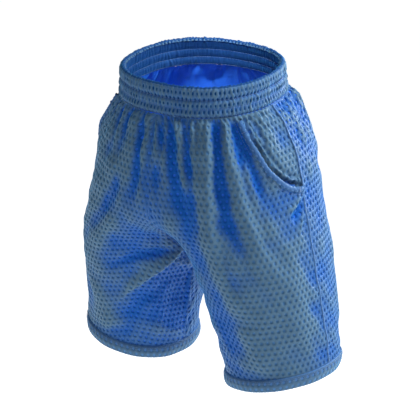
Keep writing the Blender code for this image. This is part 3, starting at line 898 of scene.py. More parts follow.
class Finish(NodeTree):
    """Procedural material with one Principled shader."""

    def __init__(self, name):
        self.material = bpy.data.materials.new(name)
        self.material.use_nodes = True
        super().__init__(self.material.node_tree)

    def mix(self, factor, first, second):
        return self.node("ShaderNodeMix", {"data_type": "RGBA"},
                         {0: factor, 6: first, 7: second}, 2)

    def tint(self, factor, deep, pale):
        """Colour that runs from one colour property to another."""
        return self.mix(factor, opaque(deep), opaque(pale))

    def mark(self, name):
        """Value of one of the mesh's attributes."""
        return self.node("ShaderNodeAttribute", {"attribute_name": name}, None, "Fac")

    def pattern(self):
        """The pattern's UV map and its two coordinates, in metres."""
        uv = self.node("ShaderNodeUVMap", {"uv_map": "pattern"})
        across = self.node("ShaderNodeSeparateXYZ", None, {0: uv})
        return uv, across, self.also(across, 1)

    def noise(self, vector, size, detail=2.0):
        """Noise from 0 to 1 whose patches are about size metres wide."""
        return self.node("ShaderNodeTexNoise", None,
                         {"Vector": vector, "Scale": 1.0 / size, "Detail": detail})

    def wave(self, place, pitch):
        """Sine from 0 to 1 with one hump for every pitch."""
        return (place * (2.0 * math.pi / pitch)).maths("SINE") * 0.5 + 0.5

    def span(self, value, low, high, first=0.0, last=1.0):
        """Value mapped smoothly from low..high to first..last, and held there."""
        return self.node("ShaderNodeMapRange", {"interpolation_type": "SMOOTHSTEP"},
                         {0: value, 1: low, 2: high, 3: first, 4: last})

    def bump(self, height, distance, strength=1.0):
        return self.node("ShaderNodeBump", None,
                         {"Height": height, "Distance": distance, "Strength": strength})

    def paleness(self, uv, patch_size, low, high):
        """The mesh's painted light, from its ridge attribute, with soft patches of random tone
        over it, mapped from low..high.
        """
        patches = self.noise(uv, patch_size)
        shifted = self.mark("ridge") + patches * PALE_PATCHES - PALE_PATCHES / 2.0
        return self.span(shifted, low, high)

    def surface(self, constants, **linked):
        """Principled shader: constants are set on its sockets, the rest is linked."""
        values = {name.replace("_", " "): value for name, value in linked.items()}
        shader = self.node("ShaderNodeBsdfPrincipled", None, {**constants, **values})
        output = self.tree.nodes.new("ShaderNodeOutputMaterial")
        self.tree.links.new(shader.socket, output.inputs[0])
        return self.material


def knit_relief(finish, across, down, pitch):
    """Height of fine knitted loops: columns of small humps."""
    return finish.wave(across, pitch) * finish.wave(down, pitch * 1.4)


def net_finish(look):
    """Polyester net: strands painted pale grey-blue as a painted highlight where the ridge
    attribute is high, saturated blue elsewhere, and painted darker and bluer as painted shade
    where they turn into the wells.
    """
    finish = Finish("net_cloth")
    uv, across, down = finish.pattern()
    # Painted light and random patches: mixes the strands from saturated blue to the pale painted
    # highlight.
    raised = finish.paleness(uv, patch_size=0.030, low=-0.10, high=1.0)
    strand = finish.tint(raised, look.valley, look.strand)
    wall = finish.tint(raised, look.well, look.well_highlight)
    # Painted shade: the walls take the darker, bluer well colours as they drop into the holes; the
    # pale well colour keeps the painted highlight of raised cloth.
    colour = finish.mix(finish.span(finish.mark("depth"), 0.25, 0.95), strand, wall)
    loops = knit_relief(finish, across, down, pitch=0.0009)
    ribs = finish.wave(across, pitch=0.0026)
    return finish.surface(CLOTH_SHEEN, Base_Color=colour,
                          Roughness=finish.span(loops, 0.0, 1.0, 0.52, 0.40),
                          Normal=finish.bump(loops * 0.6 + ribs * 0.4, 0.00022, 0.6))


def lining_finish(look):
    """Smooth saturated blue lining, finely knitted, painted paler on its folds as a painted
    highlight.
    """
    finish = Finish("lining_cloth")
    uv, across, down = finish.pattern()
    raised = finish.paleness(uv, patch_size=0.045, low=0.15, high=0.85)
    loops = knit_relief(finish, across, down, pitch=0.0007)
    # Painted light: the lining runs from its blue to the pale painted highlight by the ridge
    # attribute.
    colour = finish.tint(raised, look.lining, look.lining_highlight)
    return finish.surface(CLOTH_SHEEN, Base_Color=colour,
                          Roughness=finish.span(loops, 0.0, 1.0, 0.58, 0.46),
                          Normal=finish.bump(loops, 0.00012, 0.5))


def band_finish(look):
    """Back of the net inside the waistband: painted darker as painted shade inside the band, paler
    on its puffs and gathers as painted highlight, with its holes showing faintly.
    """
    finish = Finish("band_cloth")
    uv, across, down = finish.pattern()
    holes = finish.wave(across, pitch=0.0036) * finish.wave(down, pitch=0.0044)
    patches = finish.noise(uv, size=0.012)
    # Painted light from the ridge attribute, with random patches and the holes' pattern.
    raised = finish.span(finish.mark("ridge") + patches * 0.4 + holes * 0.3, 0.15, 1.0)
    return finish.surface(CLOTH_SHEEN, Base_Color=finish.tint(raised, look.band_shade_and_tone, look.band),
                          Roughness=finish.span(holes, 0.0, 1.0, 0.60, 0.48),
                          Normal=finish.bump(holes, 0.00025, 0.6))


def seam_finish(look):
    """Dense folded cloth of the seams, ribbed along its length, painted darker in the ribs'
    hollows as painted shade and in random patches.
    """
    finish = Finish("seam_cloth")
    uv, _, down = finish.pattern()
    ribs = finish.wave(down, pitch=0.0011)
    # Random patches, plus painted shade in the hollows between the ribs.
    raised = finish.span(finish.noise(uv, size=0.010) + ribs * 0.3, 0.3, 0.9)
    return finish.surface(CLOTH_SHEEN, Base_Color=finish.tint(raised, look.seam_dark_tone_and_shade, look.seam),
                          Roughness=finish.span(ribs, 0.0, 1.0, 0.55, 0.45),
                          Normal=finish.bump(ribs, 0.00025, 0.6))


def thread_finish(look):
    """Twisted polyester thread, with painted highlights in patches along its twist."""
    finish = Finish("thread")
    place = finish.node("ShaderNodeTexCoord", None, None, "Object")
    twist = finish.noise(place, size=0.0008)
    # Painted highlight: twist noise mixes in the pale thread colour.
    colour = finish.tint(finish.span(twist, 0.3, 0.7), look.thread, look.thread_highlight)
    return finish.surface({"Sheen Weight": 0.2}, Base_Color=colour,
                          Roughness=finish.span(twist, 0.2, 0.8, 0.35, 0.5),
                          Normal=finish.bump(twist, 0.0002, 0.5))


def elastic_finish(look):
    """White knitted elastic, ribbed across its width, painted darker between the ribs as painted
    shade.
    """
    finish = Finish("elastic")
    place = finish.node("ShaderNodeTexCoord", None, None, "Object")
    height = finish.also(finish.node("ShaderNodeSeparateXYZ", None, {0: place}), 2)
    ribs = finish.wave(height, pitch=0.0016)
    # Painted shade: the hollows between the ribs take the darker colour.
    colour = finish.tint(ribs, look.elastic_rib_shade, look.elastic)
    return finish.surface({"Sheen Weight": 0.1}, Base_Color=colour,
                          Roughness=finish.span(ribs, 0.0, 1.0, 0.75, 0.6),
                          Normal=finish.bump(ribs, 0.0004, 0.7))


# ------------------------------------------------------------- settings
def to_linear(channel):
    """Scene-linear value of a display colour channel that runs from 0 to 255."""
    share = channel / 255.0
    return share / 12.92 if share <= 0.04045 else ((share + 0.055) / 1.055) ** 2.4


def length_property(name, description, default):
    return FloatProperty(name=name, description=description, default=default, min=0.0,
                         unit="LENGTH")


def colour_property(name, description, *display):
    return FloatVectorProperty(name=name, description=description, subtype="COLOR", size=3,
                               min=0.0, max=1.0, default=tuple(to_linear(c) for c in display))


class ShortsNet(PropertyGroup):
    """Holes of the outer cloth."""

    pitch_across: length_property("Pitch Across", "Distance between holes in a row", 0.0103)
    pitch_down: length_property("Pitch Down", "Distance between rows of holes", 0.0102)
    hole_width: length_property("Hole Width", "Width of a hole", 0.0050)
    hole_height: length_property("Hole Height", "Height of a hole", 0.0060)


class ShortsLook(PropertyGroup):
    """Colours of the cloths and threads."""

    # Strand is the net's pale grey-blue painted highlight, where the cloth stands up or faces the
    # lights.
    strand: colour_property("Strand", "Net where the cloth stands up", 80, 108, 132)
    # Valley is the net's own saturated blue, left where the painted highlight is missing: in
    # folds, on their flanks and at the sides.
    valley: colour_property("Valley", "Net where the cloth folds inwards", 12, 78, 166)
    # Band Inside is painted darker than the net as painted shade; it is the paler end, on puffs
    # and gathers, as painted highlight.
    band: colour_property("Band Inside", "Net inside the waistband's channels", 26, 62, 118)
    # Deep Band Inside is painted shade in the grooves and gather hollows, mixed with random
    # patches.
    band_shade_and_tone: colour_property("Deep Band Inside", "Net inside the band's grooves", 8, 34, 88)
    # Well is painted darker and bluer than the strands, as painted shade down the holes.
    well: colour_property("Well", "Walls of the net's holes", 8, 72, 148)
    # Pale Well is the hole walls' painted highlight where the cloth is pale.
    well_highlight: colour_property("Pale Well", "Walls of the raised cloth's holes", 50, 100, 146)
    # Lining is its own saturated blue, made brighter as painted light standing in for light inside
    # the shaded shorts.
    lining: colour_property("Lining", "Lining", 44, 106, 222)
    # Pale Lining is the lining's painted highlight on its folds.
    lining_highlight: colour_property("Pale Lining", "Lining where the cloth stands up", 84, 126, 176)
    seam: colour_property("Seam", "Folded cloth of the seams", 104, 138, 184)
    # Deep Seam is painted shade in the ribs' hollows and the dark end of random patches.
    seam_dark_tone_and_shade: colour_property("Deep Seam", "Hollows of the seams' cloth", 52, 94, 160)
    thread: colour_property("Thread", "Sewing thread", 60, 98, 160)
    thread_highlight: colour_property("Pale Thread", "Highlights of the sewing thread", 100, 136, 188)
    elastic: colour_property("Elastic", "Elastic inside the waistband", 226, 228, 232)
    # Deep Elastic is painted shade in the hollows between the ribs.
    elastic_rib_shade: colour_property("Deep Elastic", "Hollows of the elastic", 178, 184, 194)


class ShortsWaist(PropertyGroup):
    """Waistband's channels and gathers."""

    puff: length_property("Puff", "Height of a channel over its stitches", 0.0036)
    ruche_pitch: length_property("Gather Pitch", "Distance between the band's gathers", 0.0060)
    ruche_height: length_property("Gather Height", "Height of the band's gathers", 0.0022)
    fullness: FloatProperty(name="Fullness", description="Cloth length over the band's own length",
                            default=1.45, min=1.0, max=2.0)


class ShortsPocket(PropertyGroup):
    """Pockets' mouths."""

    roll_width: length_property("Roll Width", "Width of the rolled edge at the mouth", 0.0085)
    roll_height: length_property("Roll Height", "Height of the rolled edge", 0.0028)
    recess: length_property("Recess", "Depth of the facing behind the mouth", 0.0045)
    gape: length_property("Gape", "How far the mouth's lower end stands open", 0.0030)


class ShortsSeams(PropertyGroup):
    """Seams and stitches."""

    welt_width: length_property("Welt Width", "Width of the ridge down each outseam", 0.0036)
    welt_height: length_property("Welt Height", "Height of the ridge down each outseam", 0.0015)
    stitch_pitch: length_property("Stitch Pitch", "Distance between stitches", 0.0031)
    stitch_length: length_property("Stitch Length", "Length of a stitch", 0.0024)
    thread_width: length_property("Thread Width", "Thickness of the thread", 0.0006)


class ShortsStage(PropertyGroup):
    """Camera and light."""

    azimuth: FloatProperty(name="Azimuth", description="Way round the shorts to the camera",
                           default=math.radians(36.0), subtype="ANGLE")
    elevation: FloatProperty(name="Elevation", description="Camera's angle above the horizon",
                             default=math.radians(20.5), subtype="ANGLE")
    distance: length_property("Distance", "Camera's distance", 3.0)
    lens: FloatProperty(name="Lens", description="Focal length in millimetres", default=151.7)
    floor: FloatProperty(name="Floor", description="Height of the floor", default=-1.5,
                         unit="LENGTH")
    key: FloatProperty(name="Key Light", description="Power of the key light", default=60.0,
                       unit="POWER")
    fill: FloatProperty(name="Fill Light", description="Strength of the light all round",
                        default=0.22)


# ------------------------------------------------------------- shared pieces
SHARED = {}


def shared(name, make):
    """The one copy of a thing that several operators use, made the first time."""
    if name not in SHARED:
        SHARED[name] = make()
    return SHARED[name]


def finish_of(name):
    """One of the finishes, made once."""
    makers = {"net": net_finish, "lining": lining_finish, "band": band_finish, "seam": seam_finish,
              "thread": thread_finish, "elastic": elastic_finish}
    look = bpy.context.scene.shorts_look
    return shared("finish_" + name, lambda: makers[name](look))


def worn_cloth(levels):
    return shared(f"cloth_{levels}", lambda: Cloth(levels))


def net_piece(name, sheet):
    """Net of the outer cloth, made of cells over a sheet."""
    net = bpy.context.scene.shorts_net
    tree = shared("net_tree", net_tree)
    cell = shared("net_cell", lambda: placed("net_cell", cell_mesh(net)))
    return tree.made(name, sheet.flat_mesh(), {
        "Cell": cell, "Pitch Across": net.pitch_across, "Pitch Down": net.pitch_down,
        "Turn Over": sheet.turned_over(), "Material": finish_of("net")})


def stitches(name, paths, pitch=None, length=None, turn=0.0):
    """Stitches along some paths of points."""
    seams = bpy.context.scene.shorts_seams
    curve = bpy.data.curves.new(name, "CURVE")
    curve.dimensions = "3D"
    for path, cyclic in paths:
        spline = curve.splines.new("POLY")
        spline.points.add(len(path) - 1)
        spline.points.foreach_set("co", [c for point in path for c in (*point, 1.0)])
        spline.use_cyclic_u = cyclic
    return shared("stitch_tree", stitch_tree).made(name, curve, {
        "Pitch": pitch or seams.stitch_pitch, "Length": length or seams.stitch_length,
        "Width": seams.thread_width, "Turn": turn, "Material": finish_of("thread")})


def belongs(piece, slot, *nodes):
    """The piece rides on the garment and stands for CAD nodes, which it hides. The slot is not
    used.
    """
    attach(piece, "root")
    if nodes:
        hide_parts(*nodes)


def declare(sheet):
    """Works out the sheet's width, length and area when it was laid flat, and does nothing more
    with them.
    """
    low, high = sheet.flat.min(axis=0), sheet.flat.max(axis=0)
    width, length = (float(side) for side in high - low)
    area = float(np.abs(sheet.flat_areas()).sum())


def tube(path, normals, towards, section):
    """Closed section of (side, out) points carried along a path that lies on cloth.

    The section's first direction points to the given place.
    """
    path, normals = np.array(path), np.array(normals)
    run = np.gradient(path, axis=0)
    run /= np.linalg.norm(run, axis=1)[:, None]
    side = np.cross(normals, run)
    side /= np.linalg.norm(side, axis=1)[:, None]
    if (side * (np.array(towards) - path)).sum() < 0.0:
        side = -side
    section = np.array(section + section[:1])
    worn = (path[:, None] + side[:, None] * section[None, :, :1]
            + normals[:, None] * section[None, :, 1:])
    made = Sheet.grid(flat_grid(passed_lengths(path), passed_lengths(section)), worn)
    if (made.facing * (made.worn - np.repeat(path, len(section), axis=0))).sum() < 0.0:
        return turned(made)
    return made


def lens_section(half_width, height, under, count):
    """Closed section of (side, out) points: a round top and a shallower underside."""
    turns = np.linspace(0.0, 2.0 * math.pi, count + 1)[:-1]
    return [(half_width * math.cos(a), height * math.sin(a) * (1.0 if a < math.pi else under))
            for a in turns]


def turned(sheet, scale=(1.0, 1.0, 1.0)):
    """The sheet with its faces turned over, and its worn shape scaled."""
    return Sheet(sheet.flat, sheet.worn * np.array(scale), sheet.faces[:, ::-1], sheet.ridge)


# ------------------------------------------------------------- pocket's shape
MOUTH = smooth_route([(0.098, -0.006), (0.097, 0.020), (0.091, 0.058), (0.075, 0.098),
                      (0.054, 0.124), (0.028, 0.142), (-0.006, 0.152)])
MOUTH_LAP = 0.024  # way over which the front panel rises towards the mouth
MOUTH_PAST = 0.020  # distance past the mouth's edge at which that rise stops
MOUTH_HOLD = 0.035  # way below the waistband over which it grows
MOUTH_LIFT = 0.0010  # how far the panel stands out all along the mouth
MOUTH_LOW = (0.74, 0.20)  # share of the mouth at which it gapes most, and the spread
BAG_CENTRE = (0.068, 0.102)
BAG_HALF_SIZE = (0.066, 0.132)
BAG_POWER = 3.0  # how square its outline is; 2 is an ellipse
BAG_DEPTHS = {"front": 0.0038, "back": 0.0072}  # how far each leaf lies under the net
FACING_UNDERLAP = 0.012  # how far the facing runs on under the front panel
RECESS_WIDTH, RECESS_WALL = 0.008, 0.007  # floor of the recess, and the slope that ends it
HOLLOW_WIDTH, HOLLOW_WALL = 0.006, 0.008  # the same for the hollow low in the mouth
FACING_SIDE_HOLD = 0.012  # way over which the facing keeps flat beside the outseam
FACING_HOLD = 0.025  # the same below the waistband
DROP_HOLD = 0.010  # way below the waistband over which the facing drops under the cloth
FACING_HOLLOW = (0.0035, 0.76, 0.16)  # more depth low in the mouth: depth, share, spread
FACING_EDGE = (0.0022, 0.0145, 0.0028)  # ridge: height, distance from the mouth, half width
FACING_VALLEY = (0.0034, 0.0200, 0.0030)  # the same for the valley past it
FACING_DROP = 0.0008  # how far the facing lies under the cloth around it
LINING_DEPTH = 0.0019  # how far the linings lie under the nets
LINING_UNDERLAP = 0.002  # how far the front lining stops short of the mouth
# The back lining's painted highlights on its folds are taken out just below the band and grow back
# over this way.
BACK_LINING_FADE = 0.12  # way below the band over which the back lining's pale folds grow


def inside_mouth(across, down):
    """Distance from the mouth's edge, positive towards the outseam, and the share along it."""
    distance, side, along = route_place(MOUTH, across, down)
    return distance * side, along


def outside_mouth(underlap):
    """Test for the places of the front panel that lie outside the mouth's edge."""
    return lambda across, down: inside_mouth(across, down)[0] < -underlap


def front_rise(across, down):
    """How far the front panel stands out along the pocket's mouth."""
    pocket = bpy.context.scene.shorts_pocket
    distance, along = inside_mouth(across, down)
    near = ease((distance + MOUTH_LAP) / MOUTH_LAP) * (distance < MOUTH_PAST)
    near = near * ease(down / MOUTH_HOLD)
    return near * (MOUTH_LIFT + pocket.gape * bell(along, *MOUTH_LOW))


def facing_drop(across, down):
    """Height of the facing: deep behind the mouth, a raised edge, a valley, then the hip."""
    pocket = bpy.context.scene.shorts_pocket
    distance, along = inside_mouth(across, down)
    depth, share, spread = FACING_HOLLOW
    deep = pocket.recess * (1.0 - ease((distance - RECESS_WIDTH) / RECESS_WALL))
    hollow = depth * bell(along, share, spread)
    deep += hollow * (1.0 - ease((distance - HOLLOW_WIDTH) / HOLLOW_WALL))
    edge, valley = (height * bell(distance, place, width)
                    for height, place, width in (FACING_EDGE, FACING_VALLEY))
    held = ease(across / FACING_SIDE_HOLD) * ease(down / FACING_HOLD)
    return (edge - deep - valley) * held - FACING_DROP * ease(down / DROP_HOLD)


def in_bag(across, down):
    """Whether the places lie within the outline of the pocket's bag."""
    sides = np.abs((across - BAG_CENTRE[0]) / BAG_HALF_SIZE[0]) ** BAG_POWER
    ends = np.abs((down - BAG_CENTRE[1]) / BAG_HALF_SIZE[1]) ** BAG_POWER
    return sides + ends < 1.0


def offset_places(route, distance):
    """Places beside a route, positive towards the outseam."""
    run = np.gradient(route, axis=0)
    run /= np.linalg.norm(run, axis=1)[:, None]
    return route + distance * np.column_stack([-run[:, 1], run[:, 0]])


# ------------------------------------------------------------- waistband's and hems' shape
BAND_HEIGHT = 0.048
BAND_THICKNESS = 0.0052
BAND_TOP = (0.133, 0.120)  # half width and half depth at the top edge
CHANNELS = (0.019, 0.0145, 0.0145)  # heights of the channels, from the top down
ELASTICS = ("elastic_upper", "elastic_middle", "elastic_lower")
BAND_FOOT = 0.0015  # way from the band's foot up to its lowest row of stitches
BAND_AROUND = 480  # steps round the band's casing and its stitches
BAND_NET_AROUND = 620  # the same for its net
BAND_UPS = 34  # places up the casing's outer side
HEM_HEIGHT = 0.023
HEM_THICKNESS = 0.0034
HEM_SWELL = 0.0026  # how far the folded band swells out
HEM_AROUND = 340  # steps round a hem band
HEM_HOLD_DOWN = 0.012  # way over which the hem band starts to wave below its seam
HEM_ROWS = ((-0.0034, -0.0032), (-0.0039, -0.0062))  # stitches: inset and level of each row
STITCH_LIFT = 0.0002  # how far a row of stitches lies over its cloth
SEAM_NEAR = 0.01  # pattern places this near to the outseam's line lie on it
MOUTH_STITCH_INSET = 0.0085  # way from the mouth's edge to its row of stitches
TACK_PITCH, TACK_LENGTH = 0.00055, 0.0022  # stitches of a bar tack
TACK_LIFT = 0.0011  # how far a bar tack stands over the rolled edge
TACK_REACH = 1.15  # its half length, over half the roll's width


def cage_shrink(columns):
    """How much nearer than its cage ring the smooth surface runs."""
    return (4.0 + 2.0 * math.cos(2.0 * math.pi / columns)) / 6.0


def oval(angle, half_width, front, back, inset, power):
    """x and y on ovals drawn in by a distance; angle 0 is the front."""
    sine, cosine = np.sin(angle), np.cos(angle)
    depth = np.where(cosine > 0.0, front, back)
    x = half_width * np.sign(sine) * np.abs(sine) ** (2.0 / power)
    y = -depth * np.sign(cosine) * np.abs(cosine) ** (2.0 / power)
    out_x = np.sign(x) * np.abs(x / half_width) ** (power - 1.0) / half_width
    out_y = np.sign(y) * np.abs(y / depth) ** (power - 1.0) / depth
    size = np.hypot(out_x, out_y)
    return x - inset * out_x / size, y - inset * out_y / size


def band_places(angle, inset, level):
    """Points on the waistband, inset from its outer face, level below its top edge."""
    share = -level / BAND_HEIGHT
    shrink = cage_shrink(BODY_COLUMNS)
    _, half_width, front, back, seam_y = BODY_RINGS[0]
    width = BAND_TOP[0] + share * (shrink * half_width - BAND_TOP[0])
    deep_front = BAND_TOP[1] + share * (shrink * front - BAND_TOP[1])
    deep_back = BAND_TOP[1] + share * (shrink * back - BAND_TOP[1])
    x, y = oval(angle, width, deep_front, deep_back, inset, BODY_POWER)
    y = y + share * seam_y
    return np.stack([x, y, level + math.tan(WAIST_PITCH) * y], axis=-1)


def hem_places(angle, inset, level):
    """Points on the left hem band, inset from the leg's surface, level below its top."""
    height, centre_x, half_width, half_depth, centre_y = LEG_RINGS[-1]
    shrink = cage_shrink(LEG_COLUMNS)
    x, y = oval(angle, shrink * half_width, shrink * half_depth, shrink * half_depth, inset,
                LEG_POWER)
    return np.stack([centre_x + x, centre_y + y, height + level + math.tan(HEM_ROLL) * x], axis=-1)


RING_STEPS = 2880  # fine steps in which a ring's length is measured


def even_angles(places, count):
    """Angles that step evenly round a ring, the ring's length, and the lengths passed."""
    fine = np.linspace(0.0, 2.0 * math.pi, RING_STEPS + 1) + math.pi
    passed = passed_lengths(places(fine, 0.0, 0.0))
    lengths = np.linspace(0.0, passed[-1], count + 1)
    return np.interp(lengths, passed, fine), passed[-1], lengths


def band_section(outer_only, inset):
    """Section of the waistband's casing, from its outer foot up and over the top edge."""
    bottom, top = -BAND_HEIGHT, 0.0
    radius = BAND_THICKNESS / 2.0 - inset
    outer = [(inset, level) for level in np.linspace(bottom, top - radius, BAND_UPS)]
    middle = BAND_THICKNESS / 2.0
    round_over = [(middle - radius * math.cos(a), top - radius + radius * math.sin(a))
                  for a in np.linspace(0.0, math.pi, 9)[1:]]
    inner = [(BAND_THICKNESS - inset, level)
             for level in np.linspace(top - radius, bottom, BAND_UPS)[1:]]
    if outer_only:
        return np.array(outer + round_over)
    return np.array(outer + round_over + inner + [outer[0]])


def channel_puff(level):
    """Share of a channel's full height, at each level of the waistband."""
    puff = np.zeros_like(level)
    top = 0.0
    for height in CHANNELS:
        share = np.clip((top - level) / height, 0.0, 1.0)
        here = (level <= top) & (level >= top - height)
        puff = np.where(here, (4.0 * share * (1.0 - share)) ** 0.65, puff)
        top -= height
    crown = CHANNELS[0] / 2.0
    return np.where(level > -crown, 1.0, puff)


def ruching(lengths, level, whole, pitch):
    """Gathers of the waistband: rounded upright ridges that bend and branch a little."""
    random = np.random.RandomState(21)
    count = round(whole / pitch)
    turn = 2.0 * math.pi * lengths / whole
    phase = lengths / whole * count
    phase = phase + 0.5 * np.sin(7.0 * turn + 1.0) + 0.35 * np.sin(17.0 * turn + 60.0 * level)
    phase = phase + 0.25 * np.sin(31.0 * turn - 140.0 * level)
    cell = np.floor(phase).astype(int) % count
    strength = random.uniform(0.35, 1.35, count)[cell]
    return np.abs(np.sin(math.pi * phase)) ** 0.9 * strength


def band_sheet(outer_only, inset, around):
    """Waistband's casing as a sheet, puffed between its stitches and gathered."""
    waist = bpy.context.scene.shorts_waist
    angles, whole, lengths = even_angles(band_places, around)
    section = band_section(outer_only, inset)
    level = section[None, :, 1] + 0.0 * lengths[:, None]
    puff = channel_puff(level)
    ruche = ruching(lengths[:, None], level, whole, waist.ruche_pitch)
    rise = waist.puff * (puff - 0.45) + waist.ruche_height * (ruche - 0.4) * (0.35 + 0.65 * puff)
    middle = BAND_THICKNESS / 2.0
    outwards = np.clip((middle - section[None, :, 0]) / middle, -1.0, 1.0)
    worn = band_places(angles[:, None] + 0.0 * level, section[None, :, 0] - rise * outwards,
                       level + rise * (1.0 - np.abs(outwards)))
    ups = passed_lengths(section)
    # Painted light: puffed channels and gather crests painted paler as painted highlight, stitch
    # lines and gather hollows bluer as painted shade.
    ridge = np.clip(0.14 + 0.35 * puff + 0.40 * ruche, 0.0, 1.0)
    return outward(Sheet.grid(flat_grid(lengths * waist.fullness, ups), worn, ridge))


def outward(sheet):
    """The sheet with its faces turned away from the middle of its ring."""
    middle = sheet.worn.mean(axis=0)
    away = (sheet.worn - middle) * np.array((1.0, 1.0, 0.0))
    spread = (sheet.facing * away).sum(axis=1)
    outer = np.linalg.norm(away, axis=1)
    if spread[outer >= np.median(outer)].sum() < 0.0:
        return turned(sheet)
    return sheet


def hem_section(inset, whole_way):
    """Section of a hem band: over its outside, round its foot and up inside."""
    foot = -HEM_HEIGHT
    radius = HEM_THICKNESS / 2.0
    outer = [(inset - HEM_SWELL * math.sin(math.pi * share) ** 0.5, foot * 0.93 * share)
             for share in np.linspace(0.0, 1.0, 15)]
    under = [(inset + radius - radius * math.cos(a), foot + radius - radius * math.sin(a))
             for a in np.linspace(0.25, math.pi, 8)]
    section = outer + under
    if whole_way:
        section += [(inset + 2.0 * radius, level) for level in np.linspace(foot + radius, 0.0, 8)]
        section.append(outer[0])
    return np.array(section)


def hem_sheet(inset, whole_way):
    """Left hem band as a sheet, a little wavy as the folded cloth lies."""
    angles, _, lengths = even_angles(hem_places, HEM_AROUND)
    section = hem_section(inset, whole_way)
    turn = angles[:, None]
    wave = 0.0006 * np.sin(5.0 * turn + 0.4) + 0.0004 * np.sin(11.0 * turn + 1.3)
    level = section[None, :, 1] + 0.0 * turn
    wave = wave * ease(-level / HEM_HOLD_DOWN)
    worn = hem_places(turn + 0.0 * level, section[None, :, 0] - wave, level)
    ups = passed_lengths(section)
    # Painted light: paler midway round the band's section as a painted highlight, bluer towards
    # its ends, at the top edge under the seam, as painted shade.
    ridge = np.broadcast_to(0.62 + 0.2 * np.sin(math.pi * np.linspace(0.0, 1.0, len(ups))),
                            level.shape)
    return outward(Sheet.grid(flat_grid(lengths, -ups), worn, ridge.copy()))


# ------------------------------------------------------------- operators
class SHORTS_OT_panels(Operator):
    """Cuts the four outer panels and makes their net"""

    bl_idname = "shorts.panels"
    bl_label = "Net Panels"

    def execute(self, context):
        cloth = worn_cloth(5)
        for name in PANELS:
            if name.startswith("front"):
                sheet = cloth.cut(name, outside_mouth(0.0), front_rise)
            else:
                sheet = cloth.cut(name)
            place, side = name.split("_")
            piece = net_piece(f"{place}_net_{side}", sheet)
            belongs(piece, "mesh_cloth", f"{place}_panel_{side}")
            declare(sheet)
        return {"FINISHED"}


class SHORTS_OT_linings(Operator):
    """Hangs the lining behind each panel"""

    bl_idname = "shorts.linings"
    bl_label = "Linings"

    def execute(self, context):
        cloth = worn_cloth(4)
        for name in PANELS:
            if name.startswith("front"):
                sheet = cloth.cut(name, outside_mouth(LINING_UNDERLAP), front_rise)
            else:
                sheet = cloth.cut(name)
                # Painted light: the back lining's painted highlights fade out towards the
                # waistband.
                sheet.ridge = sheet.ridge * ease(-sheet.flat[:, 1] / BACK_LINING_FADE)
            sheet = sheet.moved(-LINING_DEPTH)
            place, side = name.split("_")
            label = f"{place}_lining_{side}"
            piece = placed(label + "_cloth", sheet.mesh(label), finish_of("lining"))
            belongs(piece, "lining_cloth", label)
            declare(sheet)
        return {"FINISHED"}


class SHORTS_OT_pockets(Operator):
    """Makes each pocket: facing, both leaves of its bag, rolled mouth and bar tacks"""

    bl_idname = "shorts.pockets"
    bl_label = "Pockets"

    def execute(self, context):
        for side in (LEFT, RIGHT):
            self.facing(side)
            self.bag(side)
            self.mouth(context.scene.shorts_pocket, side)
        return {"FINISHED"}

    def facing(self, side):
        """Cloth seen through the mouth: net over its backing."""
        sheet = worn_cloth(5).cut(f"front_{side}",
                                  lambda a, d: inside_mouth(a, d)[0] > -FACING_UNDERLAP,
                                  facing_drop)
        # Painted highlight: the facing seen through the mouth is painted paler than the cloth
        # around it.
        sheet.ridge = np.clip(sheet.ridge + 0.25, 0.0, 1.0)
        piece = net_piece(f"facing_net_{side}", sheet)
        belongs(piece, "mesh_cloth", f"pocket_facing_{side}")
        declare(sheet)
        backing = sheet.moved(-LINING_DEPTH)
        piece = placed(f"facing_backing_{side}", backing.mesh("facing_backing"),
                       finish_of("lining"))
        belongs(piece, "lining_cloth")
        declare(backing)

    def bag(self, side):
        """The two leaves that hang inside."""
        def front_leaf(across, down):
            return in_bag(across, down) & (inside_mouth(across, down)[0] < 0.0)

        for leaf, outline in (("front", front_leaf), ("back", in_bag)):
            sheet = worn_cloth(4).cut(f"front_{side}", outline).moved(-BAG_DEPTHS[leaf])
            label = f"pocket_bag_{leaf}_{side}"
            piece = placed(label + "_cloth", sheet.mesh(label), finish_of("lining"))
            belongs(piece, "lining_cloth", label)
            declare(sheet)

    def mouth(self, pocket, side):
        """Rolled edge along the mouth, its stitches and a bar tack at each end."""
        whole = worn_cloth(5).cut(f"front_{side}", height=front_rise)
        route = MOUTH[5:-3]
        path, normals = whole.lay(route)
        corner = whole.lay([(0.0, 0.0)])[0][0]
        half = pocket.roll_width / 2.0
        core = tube(path, normals, corner, lens_section(half, pocket.roll_height, 0.6, 18))
        net = core.moved(NET_DEPTH)
        piece = net_piece(f"mouth_net_{side}", net)
        belongs(piece, "seam_cloth", f"pocket_mouth_band_{side}")
        piece = placed(f"mouth_core_{side}", core.mesh("mouth_core"), finish_of("seam"))
        belongs(piece, "seam_cloth")

        points, outs = whole.lay(offset_places(route, -MOUTH_STITCH_INSET))
        points = [p + n * STITCH_LIFT for p, n in zip(points, outs)]
        piece = stitches(f"mouth_stitches_{side}", [(points, False)])
        belongs(piece, "thread")
        tall = pocket.roll_height + TACK_LIFT
        for end, index in (("upper", len(path) // 7), ("lower", len(path) - 3)):
            run = (path[index + 1] - path[index - 1]).normalized()
            across = normals[index].cross(run)
            line = [path[index] + across * (half * TACK_REACH * math.cos(angle))
                    + normals[index] * tall * math.sin(angle)
                    for angle in np.linspace(0.1 * math.pi, 0.9 * math.pi, 9)]
            piece = stitches(f"bar_tack_{end}_{side}", [(line, False)], TACK_PITCH, TACK_LENGTH,
                             math.radians(90.0))
            belongs(piece, "thread", f"pocket_bar_tack_{end}_{side}")


